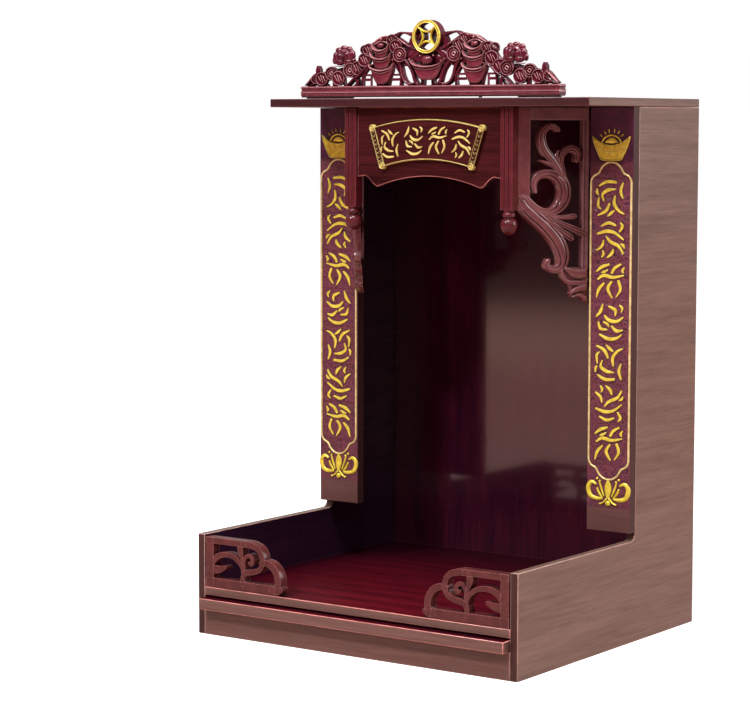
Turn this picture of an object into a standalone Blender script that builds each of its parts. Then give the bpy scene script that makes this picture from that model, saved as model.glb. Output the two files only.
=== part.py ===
# A household altar cabinet: a niche of laminated board with an open step in front, a pull-out board under
# its floor, gilt couplet boards, a splayed canopy of posts, header and scroll brackets, two corner
# fretworks and a moulded crest. Metres, +Z up, the front faces -Y, and the origin is on the ground
# under the middle of the cabinet.

import math

import bmesh
import bpy
from mathutils import Matrix, Vector

# Driving sizes of the carcass
width = 0.410
depth = 0.368
height = 0.581
board = 0.009
thick_board = 0.012
low_wall_height = 0.110
inner_corner_radius = 0.008
gap = 0.0003

# Driving sizes of the base and its pull-out board
plinth_height = 0.029
pull_out_overhang = 0.012
pull_out_depth = 0.300
pull_out_side_clearance = 0.0008
slot_height = 0.002
runner_section = 0.010
runner_back_clearance = 0.020

# Driving sizes of the couplet boards
couplet_setback = 0.223
couplet_width = 0.053
couplet_bottom = 0.119
gilding_relief = 0.0009
gilt_line_width = 0.0023
gilt_frame_half_width = 0.0244
gilt_frame_top = 0.058
gilt_frame_bottom = 0.056
couplet_cells = 7
gilt_rays = 5

# Driving sizes of the top board and the canopy
top_setback = 0.130
header_setback = 0.141
header_drop = 0.074
header_cusp_drop = 0.012
header_cusp_half_span = 0.067
header_ogee_width = 0.016
post_spacing = 0.2014
post_width = 0.015
post_setback = 0.138
post_length = 0.108
flute_width = 0.0022
flute_depth = 0.0011
flute_places = (0.34, 0.68)
finial_radius = 0.0092
finial_height = 0.0265

# Driving sizes of the fan-shaped plaque on the header
plaque_top_half_width = 0.0742
plaque_bottom_half_width = 0.0612
plaque_crown_drop = 0.0130
plaque_top_corner_drop = 0.0230
plaque_height = 0.0438
plaque_thickness = 0.0035
plaque_relief = 0.0022
plaque_bar_width = 0.0075
plaque_line_width = 0.0026
plaque_knob_radius = 0.0047
plaque_characters = 4
plaque_sign_reach = 0.0125

# Driving sizes of the splayed scroll brackets
bracket_thickness = 0.008
bracket_height = 0.210
bracket_lap = 0.002
bracket_front_stile = 0.014
bracket_front_stile_length = 0.102
bracket_back_stile = 0.0068
bracket_top_rail = 0.014
bracket_stile_toe = 0.006
bracket_back_stile_rise = 0.020
band_crown_share = 0.45

# Driving sizes of the corner fretworks
fretwork_length = 0.1045
fretwork_height = 0.055
fretwork_thickness = 0.011
fretwork_side_gap = 0.0015
fretwork_stile = 0.0105
fretwork_top_rail = 0.007
fretwork_bottom_rail = 0.0105

# Driving sizes of the crest
crest_setback = 0.1395
crest_half_width = 0.1695
crest_bar_height = 0.0135
crest_bar_depth = 0.013
crest_height = 0.083
crest_depth = 0.010
crest_coin_radius = 0.0185
crest_coin_rim = 0.0036
crest_coin_proud = 0.0042
crest_coin_square = 0.0052
crest_coin_rib = 0.0026
crest_small_coin = 0.0062

# Places worked out from the driving sizes
front = pull_out_overhang - (depth + pull_out_overhang) / 2
back = front + depth
side_inner = width / 2 - board
top_underside = height - board
pull_out_underside = plinth_height + gap
pull_out_top = pull_out_underside + thick_board
floor_underside = pull_out_top + slot_height
floor_top = floor_underside + board
upper_front = front + couplet_setback + thick_board
couplet_inner = width / 2 - couplet_width
post_front = front + post_setback
header_front = front + header_setback
post_back = header_front + board
post_inner = post_spacing / 2 - post_width / 2
post_outer = post_spacing / 2 + post_width / 2

# The carving is drawn on these panels in millimetres, and scaled to the sizes above
drawn_bracket = (82.9, 210.0)
drawn_fretwork = (104.5, 55.0)
drawn_crest = (169.5, 83.0)
drawn_couplet = 24.4

weld = 1e-6
flat_angle = math.radians(0.4)
skin = 0.0001
golden_angle = math.pi * (3 - 5 ** 0.5)
strokes_per_sign = 3
across_x = Vector((1, 0, 0))
upward = Vector((0, 0, 1))
towards_front = Vector((0, -1, 0))

scene = bpy.context.scene
for old in list(bpy.data.objects):
    bpy.data.objects.remove(old, do_unlink=True)


def finish(name, colour, roughness, metallic=0.0):
    material = bpy.data.materials.new(name)
    material.use_nodes = True
    shader = material.node_tree.nodes["Principled BSDF"]
    shader.inputs["Base Color"].default_value = (*colour, 1.0)
    shader.inputs["Roughness"].default_value = roughness
    shader.inputs["Metallic"].default_value = metallic
    return material


def add_piece(name, bm, material=None):
    bmesh.ops.remove_doubles(bm, verts=bm.verts, dist=weld)
    bmesh.ops.recalc_face_normals(bm, faces=bm.faces)
    mesh = bpy.data.meshes.new(name)
    bm.to_mesh(mesh)
    bm.free()
    piece = bpy.data.objects.new(name, mesh)
    scene.collection.objects.link(piece)
    if material is not None:
        mesh.materials.append(material)
    return piece


def panel_place(origin, along, out):
    # Points of a panel: u runs along it, v up and w out of its face
    start, u_axis, w_axis = Vector(origin), Vector(along), Vector(out)

    def place(u, v, w):
        return start + u_axis * u + upward * v + w_axis * w

    return place


def round_outline(u, v, radius, turns):
    # A regular outline with the given number of corners
    angles = [2 * math.pi * turn / turns for turn in range(turns)]
    return [(u + radius * math.cos(angle), v + radius * math.sin(angle)) for angle in angles]


def box(name, low, high, material=None):
    bm = bmesh.new()
    low, high = Vector(low), Vector(high)
    size = high - low
    matrix = Matrix.Translation((low + high) / 2) @ Matrix.Diagonal((size.x, size.y, size.z, 1.0))
    bmesh.ops.create_cube(bm, size=1.0, matrix=matrix)
    return add_piece(name, bm, material)


def slab(name, outline, place, w_low, w_high, material=None):
    bm = bmesh.new()
    face = bm.faces.new([bm.verts.new(place(u, v, w_low)) for u, v in outline])
    grown = bmesh.ops.extrude_face_region(bm, geom=[face])
    moved = [item for item in grown["geom"] if isinstance(item, bmesh.types.BMVert)]
    bmesh.ops.translate(bm, verts=moved, vec=place(0, 0, w_high) - place(0, 0, w_low))
    return add_piece(name, bm, material)


def smooth_path(points, steps):
    # A smooth line through points of any number of values, with the given steps between two points
    path = []
    last = len(points) - 1
    for index in range(last):
        before = points[max(index - 1, 0)]
        start, end = points[index], points[index + 1]
        after = points[min(index + 2, last)]
        for step in range(steps):
            t = step / steps
            path.append(tuple(
                0.5 * (2 * b + (c - a) * t + (2 * a - 5 * b + 4 * c - d) * t * t
                       + (3 * b - a - 3 * c + d) * t ** 3)
                for a, b, c, d in zip(before, start, end, after)))
    path.append(tuple(points[-1]))
    return path


def sweep(name, path, section, place, closed=False):
    # A band along a path of (u, v, half width); the section holds (share of the half width, w) pairs
    bm = bmesh.new()
    rings = []
    count = len(path)
    for index, (u, v, half) in enumerate(path):
        before = path[(index - 1) % count] if closed else path[max(index - 1, 0)]
        after = path[(index + 1) % count] if closed else path[min(index + 1, count - 1)]
        run = Vector((after[0] - before[0], after[1] - before[1])).normalized()
        rings.append([bm.verts.new(place(u - run.y * share * half, v + run.x * share * half, w))
                      for share, w in section])
    pairs = list(zip(rings, rings[1:]))
    if closed:
        pairs.append((rings[-1], rings[0]))
    else:
        bm.faces.new(rings[0])
        bm.faces.new(rings[-1])
    for ring, following in pairs:
        for k in range(len(section)):
            nxt = (k + 1) % len(section)
            bm.faces.new((ring[k], ring[nxt], following[nxt], following[k]))
    return add_piece(name, bm)


def band(name, path, place, low, high):
    # A carved band: flat at the back, with a narrower flat crown
    crown = band_crown_share
    return sweep(name, path, [(-1, low), (1, low), (crown, high), (-crown, high)], place)


def turned(name, profile, centre, segments):
    # A turned piece from (radius, height) pairs whose ends lie on the axis
    bm = bmesh.new()
    chain = [bm.verts.new(Vector(centre) + Vector((radius, 0, rise))) for radius, rise in profile]
    edges = [bm.edges.new(pair) for pair in zip(chain, chain[1:])]
    bmesh.ops.spin(bm, geom=chain + edges, cent=centre, axis=upward, angle=2 * math.pi,
                   steps=segments, use_merge=True)
    return add_piece(name, bm)


def ball(name, centre, radii, subdivisions=1):
    bm = bmesh.new()
    matrix = Matrix.Translation(centre) @ Matrix.Diagonal((*radii, 1.0))
    bmesh.ops.create_icosphere(bm, subdivisions=subdivisions, radius=1.0, matrix=matrix)
    return add_piece(name, bm)


def disc(name, centre, radius, thickness, lean, segments):
    # A round coin that faces the front and leans about its upright axis
    bm = bmesh.new()
    matrix = (Matrix.Translation(centre) @ Matrix.Rotation(lean, 4, "Z")
              @ Matrix.Rotation(math.pi / 2, 4, "X"))
    bmesh.ops.create_cone(bm, cap_ends=True, segments=segments, radius1=radius, radius2=radius,
                          depth=thickness, matrix=matrix)
    return add_piece(name, bm)


def trim(piece, point, normal):
    # Cuts a piece off flat beyond a plane
    bm = bmesh.new()
    bm.from_mesh(piece.data)
    cut = bmesh.ops.bisect_plane(bm, geom=bm.verts[:] + bm.edges[:] + bm.faces[:], dist=weld,
                                 plane_co=point, plane_no=normal, clear_outer=True)
    rim = [item for item in cut["geom_cut"] if isinstance(item, bmesh.types.BMEdge)]
    if rim:
        bmesh.ops.holes_fill(bm, edges=rim, sides=0)
    bmesh.ops.recalc_face_normals(bm, faces=bm.faces)
    bm.to_mesh(piece.data)
    bm.free()
    return piece


def fuse(name, parts, material):
    # One solid out of overlapping ones, joined in one exact union
    body, others = parts[0], parts[1:]
    operands = bpy.data.collections.new(name)
    for other in others:
        operands.objects.link(other)
    union = body.modifiers.new("union", "BOOLEAN")
    union.operation = "UNION"
    union.solver = "EXACT"
    union.operand_type = "COLLECTION"
    union.collection = operands
    bpy.context.view_layer.update()
    depsgraph = bpy.context.evaluated_depsgraph_get()
    mesh = bpy.data.meshes.new_from_object(body.evaluated_get(depsgraph))
    for part in parts:
        bpy.data.objects.remove(part, do_unlink=True)
    bpy.data.collections.remove(operands)
    bm = bmesh.new()
    bm.from_mesh(mesh)
    bmesh.ops.remove_doubles(bm, verts=bm.verts, dist=weld)
    bmesh.ops.dissolve_limit(bm, angle_limit=flat_angle, verts=bm.verts, edges=bm.edges)
    bm.to_mesh(mesh)
    bm.free()
    mesh.materials.clear()
    mesh.materials.append(material)
    piece = bpy.data.objects.new(name, mesh)
    scene.collection.objects.link(piece)
    return piece


def mirrored(piece, name):
    # The same piece on the cabinet's other side
    mesh = piece.data.copy()
    mesh.transform(Matrix.Scale(-1, 4, across_x))
    mesh.flip_normals()
    other = bpy.data.objects.new(name, mesh)
    scene.collection.objects.link(other)
    return other


# Finishes
film = finish("mahogany_film", (0.165, 0.075, 0.055), 0.35)
dark_film = finish("dark_mahogany_film", (0.055, 0.010, 0.014), 0.22)
floor_film = finish("floor_film", (0.150, 0.012, 0.014), 0.28)
moulding_red = finish("red_moulding", (0.180, 0.028, 0.036), 0.25)
couplet_film = finish("couplet_film", (0.085, 0.012, 0.030), 0.30)
gilt = finish("gilt_plaque", (0.620, 0.480, 0.110), 0.35, 0.6)


# Carcass

def side_panel():
    # An L of board: a low wall at the front and a full-height part behind the couplet board
    place = panel_place((width / 2, front, 0), -towards_front, across_x)
    step = upper_front - front
    outline = [(0, 0), (depth, 0), (depth, top_underside - gap), (step, top_underside - gap)]
    turns = 5
    for turn in range(turns + 1):
        angle = math.pi / 2 * turn / turns
        outline.append((step - inner_corner_radius * (1 - math.cos(angle)),
                        low_wall_height + inner_corner_radius * (1 - math.sin(angle))))
    outline.append((0, low_wall_height))
    return slab("side_panel_right", outline, place, -board, 0, film)


mirrored(side_panel(), "side_panel_left")
inside = side_inner - gap
box("back_panel", (-inside, back - board, 0), (inside, back, top_underside - gap), dark_film)
box("top_board", (-width / 2, front + top_setback, top_underside), (width / 2, back, height), film)
box("floor_board", (-inside, front, floor_underside), (inside, back - board - gap, floor_top), floor_film)
box("plinth_board", (-inside, front, 0), (inside, front + board, plinth_height), film)

pull_out_half = side_inner - pull_out_side_clearance
box("pull_out_board", (-pull_out_half, front - pull_out_overhang, pull_out_underside),
    (pull_out_half, front - pull_out_overhang + pull_out_depth, pull_out_top), film)

runner_start = front + board + gap
runner_end = back - board - runner_back_clearance
runner_right = box("runner_right", (inside - runner_section, runner_start, plinth_height - runner_section),
                   (inside, runner_end, plinth_height), film)
mirrored(runner_right, "runner_left")


# Couplet boards

def gilt_frame_path(bottom, top):
    # The gilt line round the inscription: straight sides, stepped shoulders and an arch at each end
    k = gilt_frame_half_width / drawn_couplet
    shoulder = [(24.4, 21.0), (22.5, 16.0), (19.0, 13.6), (15.8, 12.2), (14.2, 10.2), (11.0, 5.0),
                (6.0, 1.2)]
    line = gilt_line_width / 2
    path = [(0, top, line)]
    path += [(u * k, top - drop * k, line) for u, drop in reversed(shoulder)]
    path += [(u * k, bottom + drop * k, line) for u, drop in shoulder]
    path.append((0, bottom, line))
    left = [(-u, v, half) for u, v, half in reversed(path[1:-1])]
    return path + left


def ingot_outline(half_width, rise, belly, foot_share=0.32, dip_share=0.36):
    # A boat-shaped ingot seen from the front, with raised tips and a rounded belly
    outline = []
    turns = 4
    for turn in range(turns + 1):
        t = turn / turns
        outline.append((half_width * (1 - 2 * t), rise * (dip_share + (1 - dip_share) * (1 - 2 * t) ** 2)))
    for turn in range(1, turns):
        t = turn / turns
        u = half_width * (2 * t - 1)
        flat = max(0.0, abs(u) / half_width - foot_share) / (1 - foot_share)
        outline.append((u, rise - (rise + belly) * (1 - flat ** 1.9)))
    return outline


def stroke_cluster(place, centre_u, centre_v, reach, low, high, turn_start):
    # Lozenge strokes set round a point, in the place of one written sign, without forming one
    strokes = []
    for index in range(strokes_per_sign):
        angle = turn_start + index * golden_angle
        outward = Vector((math.cos(angle), math.sin(angle)))
        middle = outward * reach * (0.30 + 0.22 * index)
        run = Vector((-outward.y, outward.x)) * reach * 0.52
        side = outward * reach * 0.15
        corners = (middle - run, middle - run * 0.2 + side, middle + run, middle + run * 0.1 - side)
        outline = [(centre_u + corner.x, centre_v + corner.y) for corner in corners]
        strokes.append(slab("stroke", outline, place, low, high - index * skin / 3))
    return strokes


def couplet_board():
    bottom, top = couplet_bottom, top_underside - gap
    rise = top - bottom
    middle = couplet_inner + couplet_width / 2
    place = panel_place((middle, front + couplet_setback, bottom), across_x, towards_front)
    half = couplet_width / 2
    parts = [box("plain", (middle - half, front + couplet_setback, bottom),
                 (width / 2, upper_front - gap, top))]
    low, high = -gilding_relief, gilding_relief
    frame_bottom, frame_top = gilt_frame_bottom, rise - gilt_frame_top
    line_section = [(-1, low), (1, low), (1, high), (-1, high)]
    parts.append(sweep("line", gilt_frame_path(frame_bottom, frame_top), line_section, place, closed=True))
    k = gilt_frame_half_width / drawn_couplet
    ingot = ingot_outline(22.5 * k, 7.5 * k, 16 * k)
    ingot_foot = frame_top + 15.5 * k
    parts.append(slab("ingot", [(u, v + ingot_foot) for u, v in ingot], place, low, high * 1.3))
    dome = [(11.5 * k * math.cos(a * math.pi / 6), ingot_foot + (4.2 + 8.0 * math.sin(a * math.pi / 6)) * k)
            for a in range(7)]
    parts.append(slab("dome", dome, place, low, high * 1.1))
    for ray in range(gilt_rays):
        angle = math.radians(90 + 120 * (ray / (gilt_rays - 1) - 0.5))
        path = [(math.cos(angle) * r * k, ingot_foot + (5.5 + math.sin(angle) * r * 0.62) * k, 0.6 * k)
                for r in (15.8, 19.5)]
        parts.append(sweep("ray", path, [(-1, low), (1, low), (1, high), (-1, high)], place))
    bud = [(0, 0, 1.2), (0, -6, 3.8), (0, -13, 4.2), (0, -19, 2.6)]
    scroll = [(13, -4, 1.6), (20, -4, 2.3), (23, -11, 2.5), (18, -20, 2.3), (5, -20, 1.8)]
    petal = [(13, -10, 1.3), (8, -16, 1.6), (3, -20, 1.4)]
    stamen = [(9.5, 0, 1.0), (8, -8, 1.4), (4, -18, 1.2)]
    under = [(1, -20, 1.4), (6, -24.5, 1.1), (11, -24.8, 0.9)]
    for index, drawn in enumerate((bud, scroll, petal, stamen, under)):
        for side in ((1,) if drawn is bud else (1, -1)):
            path = [(u * side * k, frame_bottom + v * k, h * k) for u, v, h in drawn]
            lift = high * (1.2 - 0.06 * index)
            parts.append(sweep("lotus", path, [(-1, low), (1, low), (0.6, lift), (-0.6, lift)], place))
    pendant = round_outline(0, frame_bottom - 24 * k, 3.3 * k, 8)
    parts.append(slab("pendant", pendant, place, low, high * 1.05))
    cell = (frame_top - frame_bottom - 34 * k) / couplet_cells
    for index in range(couplet_cells):
        centre_v = frame_bottom + 17 * k + cell * (index + 0.5)
        parts += stroke_cluster(place, 0, centre_v, 13.5 * k, low, high * 0.9, index * 1.7)
    return fuse("couplet_board_right", parts, couplet_film)


mirrored(couplet_board(), "couplet_board_left")


# Canopy: header board, plaque, posts and brackets

def header_lower_edge(steps):
    # From the middle outwards: an arch, a cusp and an ogee up to the post
    edge = []
    for step in range(steps + 1):
        t = step / steps
        edge.append((header_cusp_half_span * t, -header_drop - header_cusp_drop * t * t))
    for step in range(1, steps // 2 + 1):
        t = step / (steps // 2)
        ease = t * t * (3 - 2 * t)
        edge.append((header_cusp_half_span + header_ogee_width * t,
                     -header_drop - header_cusp_drop * (1 - ease)))
    edge.append((post_inner - gap, -header_drop - header_cusp_drop * 0.12))
    return edge


def header_board():
    place = panel_place((0, header_front, top_underside - gap), across_x, towards_front)
    edge = header_lower_edge(6)
    half = post_inner - gap
    outline = [(half, 0), (-half, 0)] + [(-u, v) for u, v in reversed(edge)] + edge[1:]
    return slab("header_board", outline, place, -board, 0, floor_film)


def fan_arc(crown, corner, half_width, steps):
    # The part of a circle that rises to a crown above its two ends
    sagitta = corner - crown
    radius = (half_width ** 2 + sagitta ** 2) / (2 * sagitta)
    reach = math.asin(half_width / radius)
    arc = []
    for step in range(steps + 1):
        angle = reach * (2 * step / steps - 1)
        arc.append((radius * math.sin(angle), -crown - radius * (1 - math.cos(angle))))
    return arc


def header_plaque():
    # A fan-shaped scroll between two bars with round knobs
    place = panel_place((0, header_front - gap, top_underside), across_x, towards_front)
    bar = plaque_bar_width / 2
    line = plaque_line_width / 2
    bow = plaque_top_corner_drop - plaque_crown_drop
    upper = fan_arc(plaque_crown_drop + line, plaque_top_corner_drop, plaque_top_half_width - bar, 10)
    bottom_crown = plaque_crown_drop + plaque_height - line
    bottom_bow = bow * plaque_bottom_half_width / plaque_top_half_width
    lower = fan_arc(bottom_crown, bottom_crown + bottom_bow, plaque_bottom_half_width - bar, 10)
    thick, proud = plaque_thickness, plaque_thickness + plaque_relief
    parts = [slab("ground", upper + list(reversed(lower)), place, 0, thick)]
    for arc, lift in ((upper, 0.75), (lower, 0.7)):
        path = [(u, v, line) for u, v in arc]
        top = thick + plaque_relief * lift
        parts.append(sweep("line", path, [(-1, 0), (1, 0), (1, top), (-1, top)], place))
    for side in (1, -1):
        head = (side * (plaque_top_half_width - bar), -plaque_top_corner_drop)
        foot = (side * (plaque_bottom_half_width - bar), -plaque_top_corner_drop - plaque_height * 0.92)
        parts.append(band("bar", [(*head, bar), (*foot, bar)], place, 0, proud))
        for u, v in (head, foot):
            parts.append(slab("knob", round_outline(u, v, plaque_knob_radius, 8), place, 0, proud + 3 * skin))
    pitch = (plaque_bottom_half_width * 2 - plaque_bar_width * 2) / plaque_characters
    for index in range(plaque_characters):
        u = pitch * (index + 0.5 - plaque_characters / 2)
        v = -(plaque_crown_drop + plaque_height * 0.5) - bow * (u / plaque_top_half_width) ** 2
        parts += stroke_cluster(place, u, v, plaque_sign_reach, thick / 2, thick + plaque_relief / 2,
                                0.8 + index * 1.3)
    return fuse("header_plaque", parts, gilt)


def post():
    # A fluted square post that hangs from the top board, with a turned ball below it
    middle = (post_spacing / 2, (post_front + post_back) / 2)
    half_w, half_d = post_width / 2, (post_back - post_front) / 2

    def fluted_edge(start, end):
        # One face of the shaft, with two grooves in it
        run = (end - start)
        length = run.length
        run.normalize()
        inward = Vector((-run.y, run.x))
        points = [start]
        for share in flute_places:
            centre = start + run * length * share
            points += [centre - run * flute_width / 2, centre + inward * flute_depth,
                       centre + run * flute_width / 2]
        return points

    corners = [Vector((-half_w, -half_d)), Vector((half_w, -half_d)), Vector((half_w, half_d)),
               Vector((-half_w, half_d))]
    section = fluted_edge(corners[0], corners[1]) + fluted_edge(corners[1], corners[2]) + corners[2:]
    top = top_underside - gap
    bm = bmesh.new()
    face = bm.faces.new([bm.verts.new((middle[0] + p.x, middle[1] + p.y, top)) for p in section])
    grown = bmesh.ops.extrude_face_region(bm, geom=[face])
    moved = [item for item in grown["geom"] if isinstance(item, bmesh.types.BMVert)]
    bmesh.ops.translate(bm, verts=moved, vec=(0, 0, -post_length))
    shaft = add_piece("shaft", bm)
    r, h = finial_radius, finial_height
    shares = [(0, -0.03), (0.60, -0.03), (0.60, 0.12), (0.74, 0.19), (0.74, 0.27), (0.55, 0.31), (0.86, 0.42),
              (1, 0.60), (0.90, 0.78), (0.58, 0.94), (0, 1)]
    profile = [(r * out, -h * down) for out, down in shares]
    finial = turned("finial", profile, (middle[0], middle[1], top - post_length), 10)
    return fuse("post_right", [shaft, finial], moulding_red)


def bracket():
    # A pierced scroll panel, splayed from the back of a post to the inner edge of a couplet board
    near = Vector((post_outer, post_back + gap, 0))
    far = Vector((couplet_inner - gap, front + couplet_setback - bracket_lap, 0))
    along = (far - near).normalized()
    out = Vector((along.y, -along.x, 0))
    length = (far - near).length
    place = panel_place((0, 0, 0), across_x, towards_front)
    ku, kv = length / drawn_bracket[0], bracket_height / drawn_bracket[1]
    mean = (ku * kv) ** 0.5
    thick = bracket_thickness
    overrun = thick * 2.5
    toe = -bracket_front_stile_length - bracket_stile_toe
    front_stile = slab("stile", [(-overrun, 0), (bracket_front_stile, 0), (bracket_front_stile, toe),
                                 (0, toe), (-overrun, -bracket_front_stile_length)], place, -thick, 0)
    rail = slab("rail", [(-overrun, 0), (length + overrun, 0), (length + overrun, -bracket_top_rail),
                         (-overrun, -bracket_top_rail)], place, -thick, 0)
    heel = bracket_back_stile_rise - bracket_height
    back_stile = slab("stile", [(length - bracket_back_stile, 0), (length + overrun, 0),
                                (length + overrun, heel), (length - bracket_back_stile, heel)],
                      place, -thick, 0)
    foot_steps = [(79, -210), (74, -203), (69.5, -199.5), (64, -191), (60.5, -187.5), (54, -184), (50, -175),
                  (58, -169)]
    foot_outline = [(u * ku, v * kv) for u, v in foot_steps]
    foot_outline += [(length + overrun, -171 * kv), (length + overrun, -bracket_height)]
    foot = slab("foot", foot_outline, place, -thick, 0)
    drawn = {
        "great_scroll": [(20, -88, 4), (20, -77, 4), (27, -71, 4.4), (37, -70.5, 5), (48, -75.5, 6.4),
                         (55, -86, 7.8), (54.5, -98, 7.8), (47, -107, 6), (35, -111, 4.4), (22, -107, 4.6),
                         (8, -95, 5)],
        "upper_scroll": [(54, -77, 5), (49, -66, 4.4), (40, -55, 5), (30.5, -43, 5), (28, -31, 4.4),
                         (33, -22.5, 3.4), (41, -20.5, 3), (46.5, -24.5, 3.2)],
        "right_scroll": [(53, -70, 4), (50.5, -58, 3.6), (54, -48, 3.5), (62, -44, 3.8), (70, -48, 4.2),
                         (70, -55.5, 3.4)],
        "small_leaf": [(50, -64, 3), (45.5, -54, 3), (47, -46.5, 1)],
        "upper_tongue": [(50, -70, 3), (39, -61, 3), (27, -56.5, 1)],
        "stem": [(5, -99, 7), (17, -113, 8), (31, -124, 8), (43, -136, 8.4), (52, -149, 8.4), (54, -162, 7),
                 (49, -170, 4.4), (40, -171, 4), (34.5, -166, 3.8), (38, -161.5, 2.6)],
        "first_leaf": [(34, -114, 3), (50, -116.5, 2.5), (66.5, -115.5, 3.2)],
        "second_leaf": [(36, -117, 3), (56, -125, 3.4), (79, -134, 4)],
        "third_leaf": [(36, -120, 3), (50, -130, 3.4), (62.5, -138, 4)],
    }
    parts = [front_stile, rail, back_stile, foot]
    for index, points in enumerate(drawn.values()):
        path = [(u * ku, v * kv, half * mean)
                for u, v, half in smooth_path(points, 2 if len(points) > 8 else 1)]
        parts.append(band("scroll", path, place, -thick, (2 + index) * skin / 2))
    piece = fuse("bracket_right", parts, moulding_red)
    turn = Matrix((along, -out, upward)).transposed().to_4x4()
    piece.data.transform(Matrix.Translation((near.x, near.y, top_underside - gap)) @ turn)
    trim(piece, near, towards_front)
    return trim(piece, far, across_x)


header_board()
header_plaque()
mirrored(post(), "post_left")
mirrored(bracket(), "bracket_left")


# Corner fretworks

def corner_fretwork():
    # A pierced moulding that stands on the floor board's front edge, against the side panel
    place = panel_place((side_inner - fretwork_side_gap, front, floor_top + gap), -across_x, towards_front)
    ku, kv = fretwork_length / drawn_fretwork[0], fretwork_height / drawn_fretwork[1]
    mean = (ku * kv) ** 0.5
    thick = fretwork_thickness
    length, rise = fretwork_length, fretwork_height
    stile = slab("stile", [(0, 0), (fretwork_stile, 0), (fretwork_stile, rise), (0, rise)], place, -thick, 0)
    bottom_run, top_run = length * 0.9, length * 0.56
    bottom = slab("rail", [(0, 0), (bottom_run, 0), (bottom_run, fretwork_bottom_rail),
                           (0, fretwork_bottom_rail)], place, -thick, 0)
    top = slab("rail", [(0, rise - fretwork_top_rail), (top_run, rise - fretwork_top_rail),
                        (top_run, rise), (0, rise)], place, -thick, 0)
    drawn = {
        "first_lobe": [(56, 50.5, 4), (66, 50, 3.4), (74, 45, 3.2), (77.5, 37, 3.2), (76, 28.5, 3),
                       (70, 23.5, 3), (61, 21.5, 3.2), (52.5, 20, 3), (50, 13, 2.8), (51, 8, 3)],
        "second_lobe": [(75, 33, 3), (84, 33.5, 3.6), (92, 29, 4), (97, 21, 4), (98, 12, 4), (95, 5, 4.6)],
        "foot_curl": [(92, 4.4, 4.3), (98, 5.6, 4.4), (101.5, 8.5, 3)],
        "s_band": [(8, 27, 4), (17, 34.5, 3.4), (28, 37.3, 2.8), (39, 35.5, 2.8), (46.5, 30.5, 2.8),
                   (51, 24, 2.8), (51.5, 16, 2.8)],
        "hook": [(8, 20, 5), (19, 20.5, 4), (26.5, 23, 2.4)],
        "leaf": [(48, 50, 3.2), (47.5, 43.5, 3.7), (49.5, 36.5, 2.2), (51, 30, 1.5)],
        "curl": [(51.5, 25, 2.4), (52, 34, 2.2), (57, 39.3, 2.2), (62.5, 35.5, 2.4), (62, 29, 2.2)],
    }
    parts = [stile, bottom, top]
    for index, points in enumerate(drawn.values()):
        path = [(u * ku, v * kv, half * mean) for u, v, half in points]
        parts.append(band("scroll", path, place, -thick, -(1 + index) * skin / 2))
    return fuse("corner_fretwork_right", parts, moulding_red)


mirrored(corner_fretwork(), "corner_fretwork_left")


# Crest

def crest_bar(place):
    # The moulded base bar, its ends cut to the same profile as its front
    bm = bmesh.new()
    rise, run = crest_bar_height, crest_bar_depth
    profile = [(0, 0.0), (0, 0.22), (-0.10, 0.30), (0.02, 0.42), (0.02, 0.58), (-0.12, 0.68), (-0.14, 0.82),
               (-0.30, 1.0)]
    rings = []
    for share_out, share_up in profile:
        inset = share_out * run
        half = crest_half_width + inset
        v = share_up * rise
        rings.append([bm.verts.new(place(u, v, w)) for u, w in
                      ((-half, inset), (half, inset), (half, -run - inset), (-half, -run - inset))])
    bm.faces.new(rings[0])
    bm.faces.new(rings[-1])
    for ring, following in zip(rings, rings[1:]):
        for k in range(4):
            bm.faces.new((ring[k], ring[(k + 1) % 4], following[(k + 1) % 4], following[k]))
    return add_piece("bar", bm)


def crest_ingot(place, u, v, half_width, rise, belly, w_front):
    # An ingot and the ball that sits in it
    k = crest_half_width / drawn_crest[0]
    kv = crest_height / drawn_crest[1]
    outline = [(a + u * k, b + v * kv) for a, b in ingot_outline(half_width * k, rise * kv, belly * kv)]
    return slab("ingot", outline, place, -crest_depth, w_front * k)


def coin_ring(place, centre_v, turns):
    # The great coin: an open ring, with four ribs that bow in to a square
    proud, rib = crest_coin_proud, crest_coin_rib
    half = crest_coin_rim / 2
    rim = [(u, v, half) for u, v in round_outline(0, centre_v, crest_coin_radius - half, turns)]
    section = [(-1, -crest_depth), (1, -crest_depth), (0.7, proud), (-0.7, proud)]
    parts = [sweep("ring", rim, section, place, closed=True)]
    reach = crest_coin_radius - half
    for quarter in range(4):
        start = math.pi / 4 + quarter * math.pi / 2
        path = []
        for turn, radius in ((0, reach), (math.pi / 4, crest_coin_square), (math.pi / 2, reach)):
            angle = start + turn
            path.append((radius * math.cos(angle), centre_v + radius * math.sin(angle), rib / 2))
        high = proud - (quarter + 2) * skin
        section = [(-1, -rib), (1, -rib), (1, high), (-1, high)]
        parts.append(sweep("rib", smooth_path(path, 2), section, place))
    return parts


def flower(place, u, v, half_width, half_height, lobes):
    # A round blossom: an outline of petals and a crown in front of it
    outline = []
    steps = lobes * 3
    for step in range(steps):
        angle = 2 * math.pi * step / steps + math.pi / 2
        petal = 1.0 if step % 3 != 1 else 0.84
        outline.append((u + half_width * petal * math.cos(angle), v + half_height * petal * math.sin(angle)))
    centre = place(u, v - half_height * 0.12, -skin)
    return [slab("petals", outline, place, -crest_depth, -crest_depth * 0.12),
            ball("crown", centre, (half_width * 0.74, crest_depth * 0.34, half_height * 0.74))]


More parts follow.
